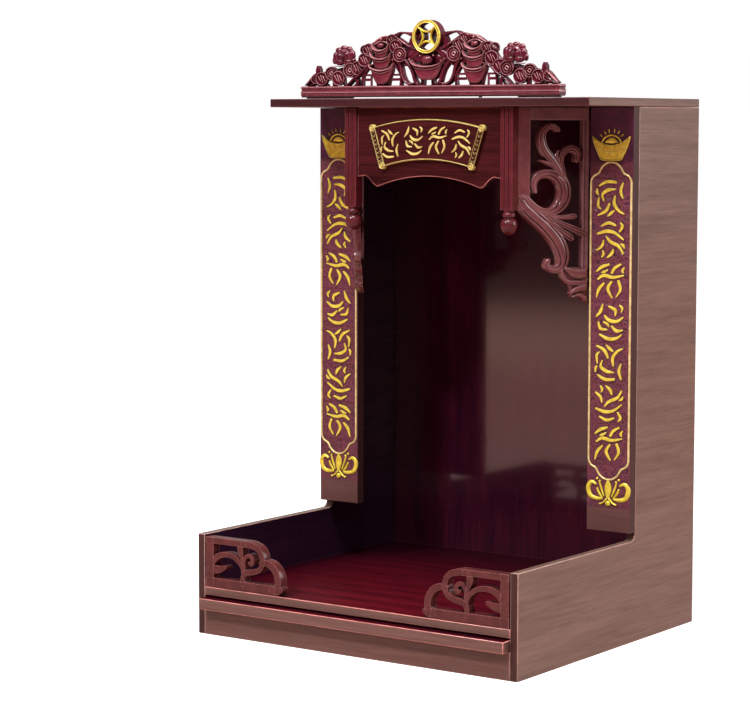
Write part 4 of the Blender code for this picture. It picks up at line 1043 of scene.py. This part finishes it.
crest = {
    "origin": (0, -0.0385, 0.5813), "half": 166.4, "barFront": 3.8, "barDeep": 9.0, "barCorner": 3.0,
    "deep": 6.0,
    # the moulding's profile from its foot up: how far out, how high
    "barProfile": (
        (-1.2, 1.2), (-1.0, 2.4), (0.0, 2.8), (0.1, 4.8), (-0.3, 5.2), (0.3, 5.6), (0.6, 6.2), (0.6, 7.0),
        (0.2, 7.6), (-0.6, 7.8), (-1.0, 8.4), (-1.1, 9.4), (-1.0, 10.2), (-0.4, 10.7), (0.0, 11.3),
        (0.0, 12.3), (-0.4, 13.0), (-1.2, 13.4), (-3.0, 13.5),
    ),
    "pads": ((-163, -101), (63.5, 65.5), (112, 163)), "padHigh": 1.4, "padInset": 2.5,
    # the lines along the bar, in the pale red of a painted highlight: height, half width, how proud; and
    # their short returns round its ends
    "barLines": ((6.4, 0.95, 0.9), (12.3, 0.7, 0.5)), "lineDeep": 2,
    "returns": {"inside": 1, "outside": 0.5, "shorter": 1, "proud": 0.6, "soft": 0.4},
    # branches of the right half, each with how proud it stands; no two have their backs in one plane
    "stemHigh": 2.2, "apart": 0.03,
    "stems": (
        (-2.2, ((17, 66, 3), (22, 67.6, 2.4), (27, 68.8, 1.5), (32, 69.6, 1.1), (37, 69.4, 1.4),
                (41, 67.2, 2.4), (46, 65.4, 2.8), (54, 64.6, 2.4), (61, 63.2, 2.4), (67, 60, 2.4),
                (72, 56.6, 2.6), (79, 54.4, 2.6), (85, 50.5, 2.6))),
        (-1.6, ((18, 52.6, 1.6), (24, 54.6, 1.8), (30.4, 58.2, 1.8), (36, 61.6, 1.7), (41, 65, 1.2))),
        (-4.2, ((36, 42, 6.5), (41, 51, 7), (46, 59, 6.5), (50, 63, 4))),
        (-3.0, ((12, 52, 4), (17, 48, 4.4), (23, 43.5, 4.2), (28, 39, 3.4), (31, 36, 2))),
        (-3.6, ((13, 66, 4), (19, 63, 5.2), (22.6, 57, 4.4), (24, 50, 4.4), (28, 44, 4))),
        (-4.8, ((25, 47, 5), (30, 52, 5), (37, 57.6, 4.4), (44, 62, 3.6))),
        (-4.4, ((9, 44, 4), (15, 41, 4.6), (20, 42, 4.6))),
        (-0.4, ((12.4, 13.4, 1.7), (16.2, 18, 1.9), (18.2, 24, 1.9), (21, 30.4, 1.9), (25.2, 36, 2.0),
                (28.5, 40, 1.8))),
        (-0.8, ((17.4, 15.6, 1.3), (22.6, 14.6, 1.5), (28.6, 17.2, 1.8), (32.6, 23.6, 2.0),
                (34.4, 30, 2.1), (36.8, 36.4, 2.4), (40, 41, 2.6))),
        (-2.4, ((36, 13.2, 1.8), (35.4, 19, 1.6), (36, 25, 1.4), (40.4, 32, 1.6), (45, 37, 2.4),
                (46, 44, 3))),
        (-4.0, ((60, 13, 9), (60, 26, 12), (60, 40, 12), (60, 52, 10), (60, 58, 6))),
        (-2.6, ((86.6, 13.4, 1.5), (86.4, 20, 1.5), (85, 26, 1.7), (79, 32.6, 1.9), (73, 34, 2.0))),
        (0.6, ((71.5, 36, 0.9), (77, 34.6, 1.1), (83.5, 30.6, 1.2), (89, 25.2, 1.3), (95, 22.4, 1.3),
               (100, 18.4, 1.3), (105, 13.8, 1.3))),
        (-1.6, ((96, 22, 2.2), (92.6, 19, 2.2), (93.6, 14.4, 2.6), (97, 12.6, 2.0))),
        (-3.8, ((73, 52, 4), (79, 47, 6), (85, 38, 6.5), (94, 32, 6.5), (104, 30, 5.6), (112, 30, 4.4),
                (121, 27, 5.6), (133, 25, 5.4), (143, 21, 5.4))),
        (-2.8, ((110, 12.8, 1.4), (111.6, 18, 1.8), (113, 25, 2.6))),
        (-3.2, ((125, 13.2, 2.6), (125, 19, 3.0), (128, 24, 3.4))),
        (-3.0, ((135.4, 13.4, 3.0), (141, 15.4, 3.6), (148, 18, 4.0), (155, 15.8, 2.4), (160, 13.8, 1.2))),
        (-0.6, ((144, 25, 3.0), (149.4, 25.4, 2.2), (154.4, 21.4, 1.6), (159.0, 17.0, 1.1),
                (162.4, 14.8, 0.7))),
        (-0.4, ((145.6, 22, 3.0), (145.6, 28, 3.0), (145.6, 32, 2.9), (145.6, 34.4, 1.6))),
    ),
    # thin lines in the pale red of a painted highlight: along the outline, the leaf slits, the branch under
    # the coins and the end leaf
    "thinDeep": 3,
    "lines": (
        (0.4, ((50, 66.2, 0.5), (57, 66.2, 0.6), (64, 63.8, 0.7), (70, 60, 0.7), (76, 57.2, 0.5))),
        (0.6, ((50.4, 57.2, 0.5), (55, 60, 0.6), (60, 61, 0.6), (65, 60, 0.6), (69.6, 57.2, 0.5))),
        (0.8, ((26, 56.6, 0.4), (31, 59.2, 0.5), (37, 63, 0.4))),
        (1.6, ((16.6, 19, 0.4), (18.6, 25, 0.5), (21.4, 31, 0.5), (25.6, 36.4, 0.5), (29, 40, 0.4))),
        (1.4, ((19, 16, 0.4), (24, 15.2, 0.5), (28.8, 17.8, 0.5), (32.4, 23.8, 0.5), (34.2, 30, 0.5),
               (36.6, 36, 0.4))),
        (2.6, ((71.5, 36.4, 0.4), (77, 35, 0.6), (83.5, 31, 0.6), (89, 25.6, 0.6), (95, 22.6, 0.6),
               (100, 18.6, 0.5))),
        (2.0, ((149, 26.8, 0.5), (153.6, 23.2, 0.7), (158.2, 18.6, 0.7), (162, 15.2, 0.5))),
        (1.6, ((108, 36.6, 0.4), (115, 34.6, 0.5), (122, 35.4, 0.4))),
    ),
    # the frets under the stems: where they start and end, and the height and half width of their rails
    "frets": ((35.6, 47.6), (74.6, 86.4)), "fretLevels": ((25.0, 1.15), (20.0, 1.5)),
    "fretUpright": (0.8, 13, 26, 1.0), "fretHigh": (-4.2, -2.2), "fretSoft": 0.3, "fretApart": 0.05,
    # u, v, radius, lean, how proud, bears slanted bars
    "coins": (
        (149.5, 21.5, 5.6, 0.5, -1.6, True), (127.5, 27.5, 7.6, 0.3, -0.8, False),
        (139.2, 21.6, 7.8, 0.15, 1.0, True), (117, 22, 8.2, 0.1, 0.8, True),
        (83.5, 52.4, 5.4, 0.5, -2.2, True), (76.6, 52, 7.2, 0.25, 0.0, True),
        (91.4, 32.6, 8.2, 0.25, -0.2, True), (81.8, 41.4, 7.8, 0.2, 0.8, True),
        (101, 30.6, 8.2, 0.15, 1.2, False), (46.4, 61.8, 6.8, 0.3, -0.8, True),
        (40.8, 55, 7.8, 0.2, 0.2, True), (34.8, 46.4, 8.4, 0.1, 1.6, False),
    ),
    # a coin's profile (share of the radius, height) and its rims (share of the radius, half width, height)
    "coinProfile": ((0, 0.3), (0.80, 0.3), (0.86, 1.2), (0.94, 1.2), (1, 0.6), (1, -3.4), (0, -3.4)),
    "coinRims": ((0.90, 0.40, 1.8), (0.56, 0.34, 1.2)), "coinMark": (0.08, 1.4),
    "bars": ((-0.36, 0.34), (0.0, 0.5), (0.36, 0.34)), "barSlant": 0.2,
    "square": ((0.27, 0.05), (0.05, -0.27), (-0.27, -0.05), (-0.05, 0.27)),
    # stacked ingots: half width, tips, dip of the lip, foot and its share of the width, how proud
    "stack": ((15.6, 36.4, 29.4, 14.8, 0.34, -0.4), (13.8, 48.4, 41.6, 31.0, 0.55, 0.3),
              (11.2, 58.0, 50.6, 42.4, 0.55, 0.8)),
    "stackAt": 60, "middle": (20.4, 39.6, 32.8, 19.0, 0.42, 0.8),
    # an ingot's body from its foot up: share of the height, share of the width, lift
    "swell": ((0, 0.0, 0.5), (0.06, 0.14, 0.8), (0.2, 0.36, 0.95), (0.45, 0.62, 1.0), (0.75, 0.85, 1.0),
              (1.0, 1.0, 1.0)),
    "bodyShare": 0.93, "bodyHigh": 2.6, "underLip": 1.4,
    # its lips: how far down, half width, how proud; and how a lower lip's tips and reach shrink
    "lips": ((0.0, 1.2, 4.6), (2.7, 0.7, 3.6)), "lipShrink": (0.8, 0.022),
    # a lip's left half: share of its reach, share of its rise, share of its half width, lift
    "lipPath": ((0.84, 0.45, 0.8, 1.0), (0.45, 0.13, 1.0, 1.05), (0, 0, 1.05, 1.1)), "lipTip": (0.6, 0.8),
    "nuggets": ((60.6, 56.4, 0.6, (4.8, 3.2, 3.4)), (-60.6, 56.4, 0.6, (4.8, 3.2, 3.4))),
    "middleNugget": (0, 40, 0.4, (6.8, 5.6, 4.6), 24),
    # the plate that carries the great coin and a foot at each side under the middle ingot
    "neck": ((0, 31, 15), (0, 50, 12)), "neckHigh": -4.4, "neckSoft": 0.8,
    "foot": ((6.8, 13, 1.7), (6.6, 19.6, 2.0)), "footHigh": -1.4,
    "beads": ((22.6, 41.2, 1.0), (18.4, 39.4, 0.8), (8.6, 44.8, 0.9), (44.2, 41.2, 0.9), (59.4, 63.6, 1.3),
              (14.6, 55.6, 0.9), (12.2, 16.0, 0.7)), "beadHigh": 1.8,
    "bloom": (109.6, 36.6),
    # petals of the bloom, the heart first: place, half width, half height, how thick, how proud
    "petals": (
        (0, 9.4, 11.6, 9.0, 4.0, -1.0), (-5.6, 15.6, 4.6, 4.6, 3.0, -1.2),
        (1.2, 17.2, 4.8, 4.0, 3.0, -1.4), (7.8, 14.6, 4.6, 4.6, 3.0, -1.2),
        (-9.8, 9.8, 4.6, 6.6, 3.6, -0.4), (10.6, 8.4, 4.4, 6.0, 3.6, -0.4),
        (13.4, 4.6, 2.8, 4.0, 2.6, -0.8), (-12.4, 4.2, 2.4, 3.4, 2.4, -1.0),
        (-5.0, 3.0, 6.0, 4.0, 3.6, 0.2), (5.6, 2.8, 6.2, 3.8, 3.6, 0.0), (-4.6, 9.4, 4.6, 6.0, 4.6, 0.4),
        (5.0, 8.4, 4.6, 5.6, 4.4, 0.4), (0.4, 13.4, 3.2, 3.2, 4.2, 0.4), (0.2, 8.0, 2.4, 4.6, 5.2, 0.4),
    ),
    "petalRim": (0.86, 0.42, 0.62), "petalTurns": (20, 161, 20), "petalDeep": 2,
    "coin": 17.9, "coinRim": 3.4, "coinHigh": 64.9, "coinProud": 3.9, "coinDeep": 8.0, "coinSquare": 5.0,
    # half width of the ribs, gilt and dark, and how far behind the coin's front they and the rims stand
    "ribHalf": (1.1, 1.2), "giltRim": 2.2, "giltRib": (2.4, 0.5), "darkRim": 0.9, "darkRib": 1.6,
    # a rim's cross-section: share of its half width, how far behind its front
    "plainRim": ((1, 0.9), (0.9, 0.2), (-0.9, 0.3), (-1, 0.9)),
    "lippedRim": ((1, 0.9), (0.9, 0.2), (0.66, 0), (0.4, 0.2), (0.25, 0.8), (-0.3, 0.7), (-0.5, 0.2),
                  (-0.75, 0), (-0.9, 0.3), (-1, 0.9)),
    "diagonal": 0.7071,
}


def crestBar():
    # A rectangle drawn up through the moulding's profile
    def corners(inset, v):
        u, front, back = crest["half"], crest["barFront"] + inset, -crest["barDeep"] - inset
        return [Vector((-u, v, front)), Vector((u, v, front)), Vector((u, v, back)), Vector((-u, v, back))]
    shell = ringShell([corners(*point) for point in crest["barProfile"]])
    upright = [edge for edge in shell.edges if abs(edge.verts[0].co.y - edge.verts[1].co.y) > 0.01
               and edge.verts[0].co.z > 0]
    softenEdges(shell, upright, crest["barCorner"], 3)
    bmesh.ops.recalc_face_normals(shell, faces=shell.faces)
    return shell


def smallCoin(u, v, radius, lean, w, barred):
    # A thick coin that leans about its upright axis, and the lines on it in a painted highlight colour: its
    # rims, and slanted bars or a square
    turn = Matrix.Translation((u, v, w)) @ Matrix.Rotation(lean, 4, "Y")
    lines = []
    for share, wide, high in crest["coinRims"][:1 if barred else 2]:
        rim = [(x, y, wide) for x, y in roundOutline(0, 0, share * radius, 30)]
        lines.append(sweepShell(rim, rollSection(0, high, 6), True))
    if barred:
        slant = crest["barSlant"]
        marks = [((across - slant, reach), (across + slant, -reach)) for across, reach in crest["bars"]]
    else:
        marks = zip(crest["square"], crest["square"][1:] + crest["square"][:1])
    thin, high = crest["coinMark"]
    for ends in marks:
        lines.append(bandShell([(a * radius, b * radius, thin * radius) for a, b in ends], 0.0, high, 1))
    for line in lines:
        bmesh.ops.transform(line, matrix=turn, verts=line.verts)
    return [spunShell([(share * radius, rise) for share, rise in crest["coinProfile"]], 26, turn)], lines


def crestIngot(u, half, tips, dip, foot, footShare, w):
    # A boat-shaped ingot: a rounded body that narrows downwards, under two thin lips between raised tips
    base = -crest["deep"]
    width, height = half * crest["bodyShare"], dip + crest["underLip"] - foot
    body = [(u, foot + height * climb, width * (footShare + (1 - footShare) * wide), lift)
            for climb, wide, lift in crest["swell"]]
    lips, (sink, shrink) = [], crest["lipShrink"]
    for drop, wide, proud in crest["lips"]:
        low, top, reach = dip - drop, tips - drop * sink, half * (1 - drop * shrink)
        lip = [(-reach, top, *crest["lipTip"])]
        lip += [(-reach * out, low + (top - low) * climb, wide * thick, lift)
                for out, climb, thick, lift in crest["lipPath"]]
        lip = [(u + across, *rest) for across, *rest in mirroredPath(lip)]
        lips.append(bandShell(lip, base, w + proud, 5))
    return [sweepShell(smoothPath(body), rollSection(base, w + crest["bodyHigh"], 16))], lips


def blossom(side):
    # A full bloom of rounded petals round its heart, and the rims of the front ones, pale with a painted
    # highlight
    u, v = crest["bloom"]
    share, half, rise = crest["petalRim"]
    petals = [ballShell(side * (u + du), v + dv, w, (wide, high, thick), 18)
              for du, dv, wide, high, thick, w in crest["petals"]]
    rims = []
    for du, dv, wide, high, thick, w in crest["petals"][1:]:
        turns = [math.radians(turn) for turn in range(*crest["petalTurns"])]
        arc = [(side * (u + du + share * wide * math.cos(turn)), v + dv + share * high * math.sin(turn), half)
               for turn in turns]
        rims.append(sweepShell(arc, rollSection(-crest["petalDeep"], w + thick * rise, 4)))
    return petals, rims


def coinRibs(half, low, high):
    # Four bowed ribs that leave a small square hole between them
    hole, reach = crest["coinSquare"], (crest["coin"] - crest["coinRim"] / 2) * crest["diagonal"]
    shells = []
    for quarter in range(4):
        turn = Matrix.Rotation(quarter * math.pi / 2, 2)
        bowed = [Vector((hole + (reach - hole) * (step / 4) ** 2, reach * step / 4)) for step in range(-4, 5)]
        points = [(place.x, crest["coinHigh"] + place.y, half) for place in (turn @ point for point in bowed)]
        shells.append(sweepShell(smoothPath(points, 3), rollSection(low, high, 6)))
    return shells


def coinRing(low, high, profile):
    half = crest["coinRim"] / 2
    ring = [(x, y, half) for x, y in roundOutline(0, crest["coinHigh"], crest["coin"] - half, 72)]
    section = [(1, 0, low)] + [(share, 0, high - behind) for share, behind in profile] + [(-1, 0, low)]
    return [sweepShell(ring, section, True)]


def barShells():
    # The bar, the pads under it and the lines of painted highlight along its front and round its ends
    half, front, back = crest["half"], crest["barFront"], crest["barDeep"]
    inset, high = crest["padInset"], crest["padHigh"]
    pads = [plateShell([(start, 0), (end, 0), (end, high), (start, high)], inset - back, -inset)
            for start, end in crest["pads"]]
    ends, lines = crest["returns"], []
    for v, wide, proud in crest["barLines"]:
        section = rollSection(proud - crest["lineDeep"], front + proud, 6)
        lines.append(railBand((-half, v), (half, v), wide, section))
        for side in (1, -1):
            near, far = side * (half - ends["inside"]), side * (half + ends["outside"])
            end = [(near, v - wide), (far, v - wide), (far, v + wide), (near, v + wide)]
            lines.append(plateShell(end, ends["shorter"] - back, front + proud * ends["proud"], ends["soft"]))
    return pads, [crestBar()], lines


def branchShells(side):
    # One side's stems, lines of painted highlight and frets
    deep, dark, lines = crest["deep"], [], []
    for step, (w, points) in enumerate(crest["stems"]):
        section = [(share, inset, max(w + rise, w) if rise >= 0 else crest["apart"] * step - deep)
                   for share, inset, rise in rollSection(-1, crest["stemHigh"])]
        dark.append(shapedBand(sided(points, side), section, 4))
    for w, points in crest["lines"]:
        lines.append(bandShell(sided(points, side), w - crest["thinDeep"], w, 4, 6))
    (inset, low, high, half), (back, front) = crest["fretUpright"], crest["fretHigh"]
    for left, right in crest["frets"]:
        fret = [((left, v, thin), (right, v, thin)) for v, thin in crest["fretLevels"]]
        fret.append(((left + inset, low, half), (left + inset, high, half)))
        for step, rail in enumerate(fret):
            section = flatSection(back, front - crest["fretApart"] * step, crest["fretSoft"])
            dark.append(sweepShell(sided(rail, side), section))
    return dark, lines


def addCrest():
    place = panelMatrix(crest["origin"], rightward, forward)
    deep, proud, coinDeep = crest["deep"], crest["coinProud"], -crest["coinDeep"]
    dark, shells, lines = barShells()
    stacks = [(side * crest["stackAt"], measures) for side in (1, -1) for measures in crest["stack"]]
    for u, measures in [(0, crest["middle"])] + stacks:
        bodies, lips = crestIngot(u, *measures)
        shells += bodies
        lines += lips
    for side in (1, -1):
        made = [branchShells(side), blossom(side)]
        made += [smallCoin(*coin) for coin in sided(crest["coins"], side)]
        for forms, rims in made:
            dark += forms
            lines += rims
        lines += [ballShell(u, v, crest["beadHigh"], (radius,) * 3, 12)
                  for u, v, radius in sided(crest["beads"], side)]
        dark.append(bandShell(sided(crest["foot"], side), -deep, crest["footHigh"], 1))
    shells += [ballShell(*nugget) for nugget in crest["nuggets"]] + [ballShell(*crest["middleNugget"])]
    dark.append(sweepShell(crest["neck"], flatSection(-deep, crest["neckHigh"], crest["neckSoft"])))
    (giltHalf, darkHalf), (ribBack, ribFront) = crest["ribHalf"], crest["giltRib"]
    dark += coinRing(coinDeep, proud - crest["darkRim"], crest["plainRim"])
    dark += coinRibs(darkHalf, coinDeep, proud - crest["darkRib"])
    gilt = coinRing(proud - crest["giltRim"], proud, crest["lippedRim"])
    gilt += coinRibs(giltHalf, proud - ribBack, proud - ribFront)
    addPiece("crest_carving", dark, ["coinResin"], "red_moulding", place, "crest")
    addPiece("crest_ingots", shells, ["crestResin"], "red_moulding", place)
    # the lips, rims, beads and thin lines, in a pale red that paints their highlights
    addPiece("crest_edges", lines, ["crestEdge"], "red_moulding", place)
    addPiece("crest_coin", gilt, ["leafGold"], "gilding", place)


addCrest()
print("crest carved")


# Floor, light and camera

lights = {
    "rightSide": {"place": (2.4, 1.2, 1.2), "aim": (0.2, 0.1, 0.3), "size": 1.2, "power": 26},
    "frontLeft": {"place": (-0.6, -2.2, 2.4), "aim": (0, 0, 0.35), "size": 0.4, "power": 60},
    "overhead": {"place": (0.5, -1.2, 2.6), "aim": (0, 0, 0.3), "size": 0.6, "power": 46},
}
# The picture's ground is white; what the gloss mirrors is a warm room, dark in front and above the floor
studio = {
    "pale": (0.9, 0.9, 0.9), "around": (0.95, 0.93, 0.90), "left": (0.40, 0.38, 0.37),
    "infront": (0.12, 0.06, 0.055), "rightward": (0.05, 0.50), "ahead": (0.30, 0.0), "low": (0.50, 0.12),
    "floorSize": 14.0, "floorNear": (0.56, 0.37, 0.33), "floorMiddle": (0.70, 0.34, 0.28),
    "floorFar": (0.07, 0.03, 0.03), "nearTo": (0.7, 1.5), "middleTo": (3.6, 5.2), "glow": (1.7, 0.98, 0.80),
    "glowFrom": (1.6, 3.4), "glowTo": (5.1, 4.0), "glowAhead": (-1.4, -2.4), "glowStrength": 0.6,
}
black, white = (0, 0, 0), (1, 1, 1)
camera = {"eye": (1.4589, -2.1898, 0.5515), "yaw": 35.37, "pitch": 5.62, "roll": 0.06, "focal": 2420.0,
          "frameWidth": 750.0, "sensor": 36.0, "clip": (0.1, 60.0)}


def cameraRay(tree):
    return addNode(tree, "ShaderNodeLightPath").outputs["Is Camera Ray"]


def addFloor():
    # White to the camera; in the gloss its colour changes with the distance, and a patch far in front glows
    bm = bmesh.new()
    bmesh.ops.create_grid(bm, x_segments=1, y_segments=1, size=studio["floorSize"])
    mesh = bpy.data.meshes.new("studio_floor")
    bm.to_mesh(mesh)
    bm.free()
    material, tree, shader = startMaterial("paleFloor", {"roughness": 0.85})
    place = objectPlace(tree)
    away = addNode(tree, "ShaderNodeVectorMath", {0: place}, operation="LENGTH").outputs["Value"]
    ahead = addNode(tree, "ShaderNodeSeparateXYZ", {0: place}).outputs["Y"]
    near, far = (spread(tree, away, *studio[key]) for key in ("nearTo", "middleTo"))
    bounce = mixColours(tree, near, studio["floorNear"], studio["floorMiddle"])
    bounce = mixColours(tree, far, bounce, studio["floorFar"])
    ring = product(tree, spread(tree, away, *studio["glowFrom"]), spread(tree, away, *studio["glowTo"]))
    patch = product(tree, spread(tree, ahead, *studio["glowAhead"]), ring)
    glow = mixColours(tree, patch, black, studio["glow"])
    feed(tree, shader["Base Color"], mixColours(tree, cameraRay(tree), bounce, studio["pale"]))
    feed(tree, shader["Emission Color"], mixColours(tree, cameraRay(tree), glow, white))
    shader["Emission Strength"].default_value = studio["glowStrength"]
    mesh.materials.append(material)
    floor = bpy.data.objects.new("studio_floor", mesh)
    bpy.context.scene.collection.objects.link(floor)


def addAreaLight(name, place, aim, size, power):
    data = bpy.data.lights.new(name, "AREA")
    data.shape, data.size, data.size_y, data.energy = "RECTANGLE", size, size, power
    light = bpy.data.objects.new(name, data)
    light.location = place
    light.rotation_euler = (Vector(aim) - Vector(place)).to_track_quat("-Z", "Y").to_euler()
    bpy.context.scene.collection.objects.link(light)


def addRoom():
    # The world: white to the camera, the room to everything else
    world = bpy.data.worlds.new("studio")
    bpy.context.scene.world = world
    world.use_nodes = True
    tree = world.node_tree
    way = addNode(tree, "ShaderNodeTexCoord").outputs["Generated"]
    way = addNode(tree, "ShaderNodeSeparateXYZ", {0: way}).outputs
    dim = product(tree, spread(tree, way["Y"], *studio["ahead"]), spread(tree, way["Z"], *studio["low"]))
    room = mixColours(tree, spread(tree, way["X"], *studio["rightward"]), studio["left"], studio["around"])
    room = mixColours(tree, dim, room, studio["infront"])
    feed(tree, tree.nodes["Background"].inputs["Color"], mixColours(tree, cameraRay(tree), room, white))


def addCamera():
    data = bpy.data.cameras.new("photo_view")
    data.sensor_width = camera["sensor"]
    data.lens = camera["focal"] / camera["frameWidth"] * camera["sensor"]
    data.clip_start, data.clip_end = camera["clip"]
    yaw, pitch, roll = (math.radians(camera[key]) for key in ("yaw", "pitch", "roll"))
    look = Vector((-math.sin(yaw) * math.cos(pitch), math.cos(yaw) * math.cos(pitch), -math.sin(pitch)))
    eye = bpy.data.objects.new("photo_view", data)
    eye.location = camera["eye"]
    turn = look.to_track_quat("-Z", "Y").to_matrix() @ Matrix.Rotation(roll, 3, "Z")
    eye.rotation_euler = turn.to_euler()
    bpy.context.scene.collection.objects.link(eye)
    bpy.context.scene.camera = eye
    bpy.context.scene.view_settings.view_transform = "Standard"


addFloor()
addRoom()
for name, values in lights.items():
    addAreaLight(name, **values)
addCamera()
print("studio lit")
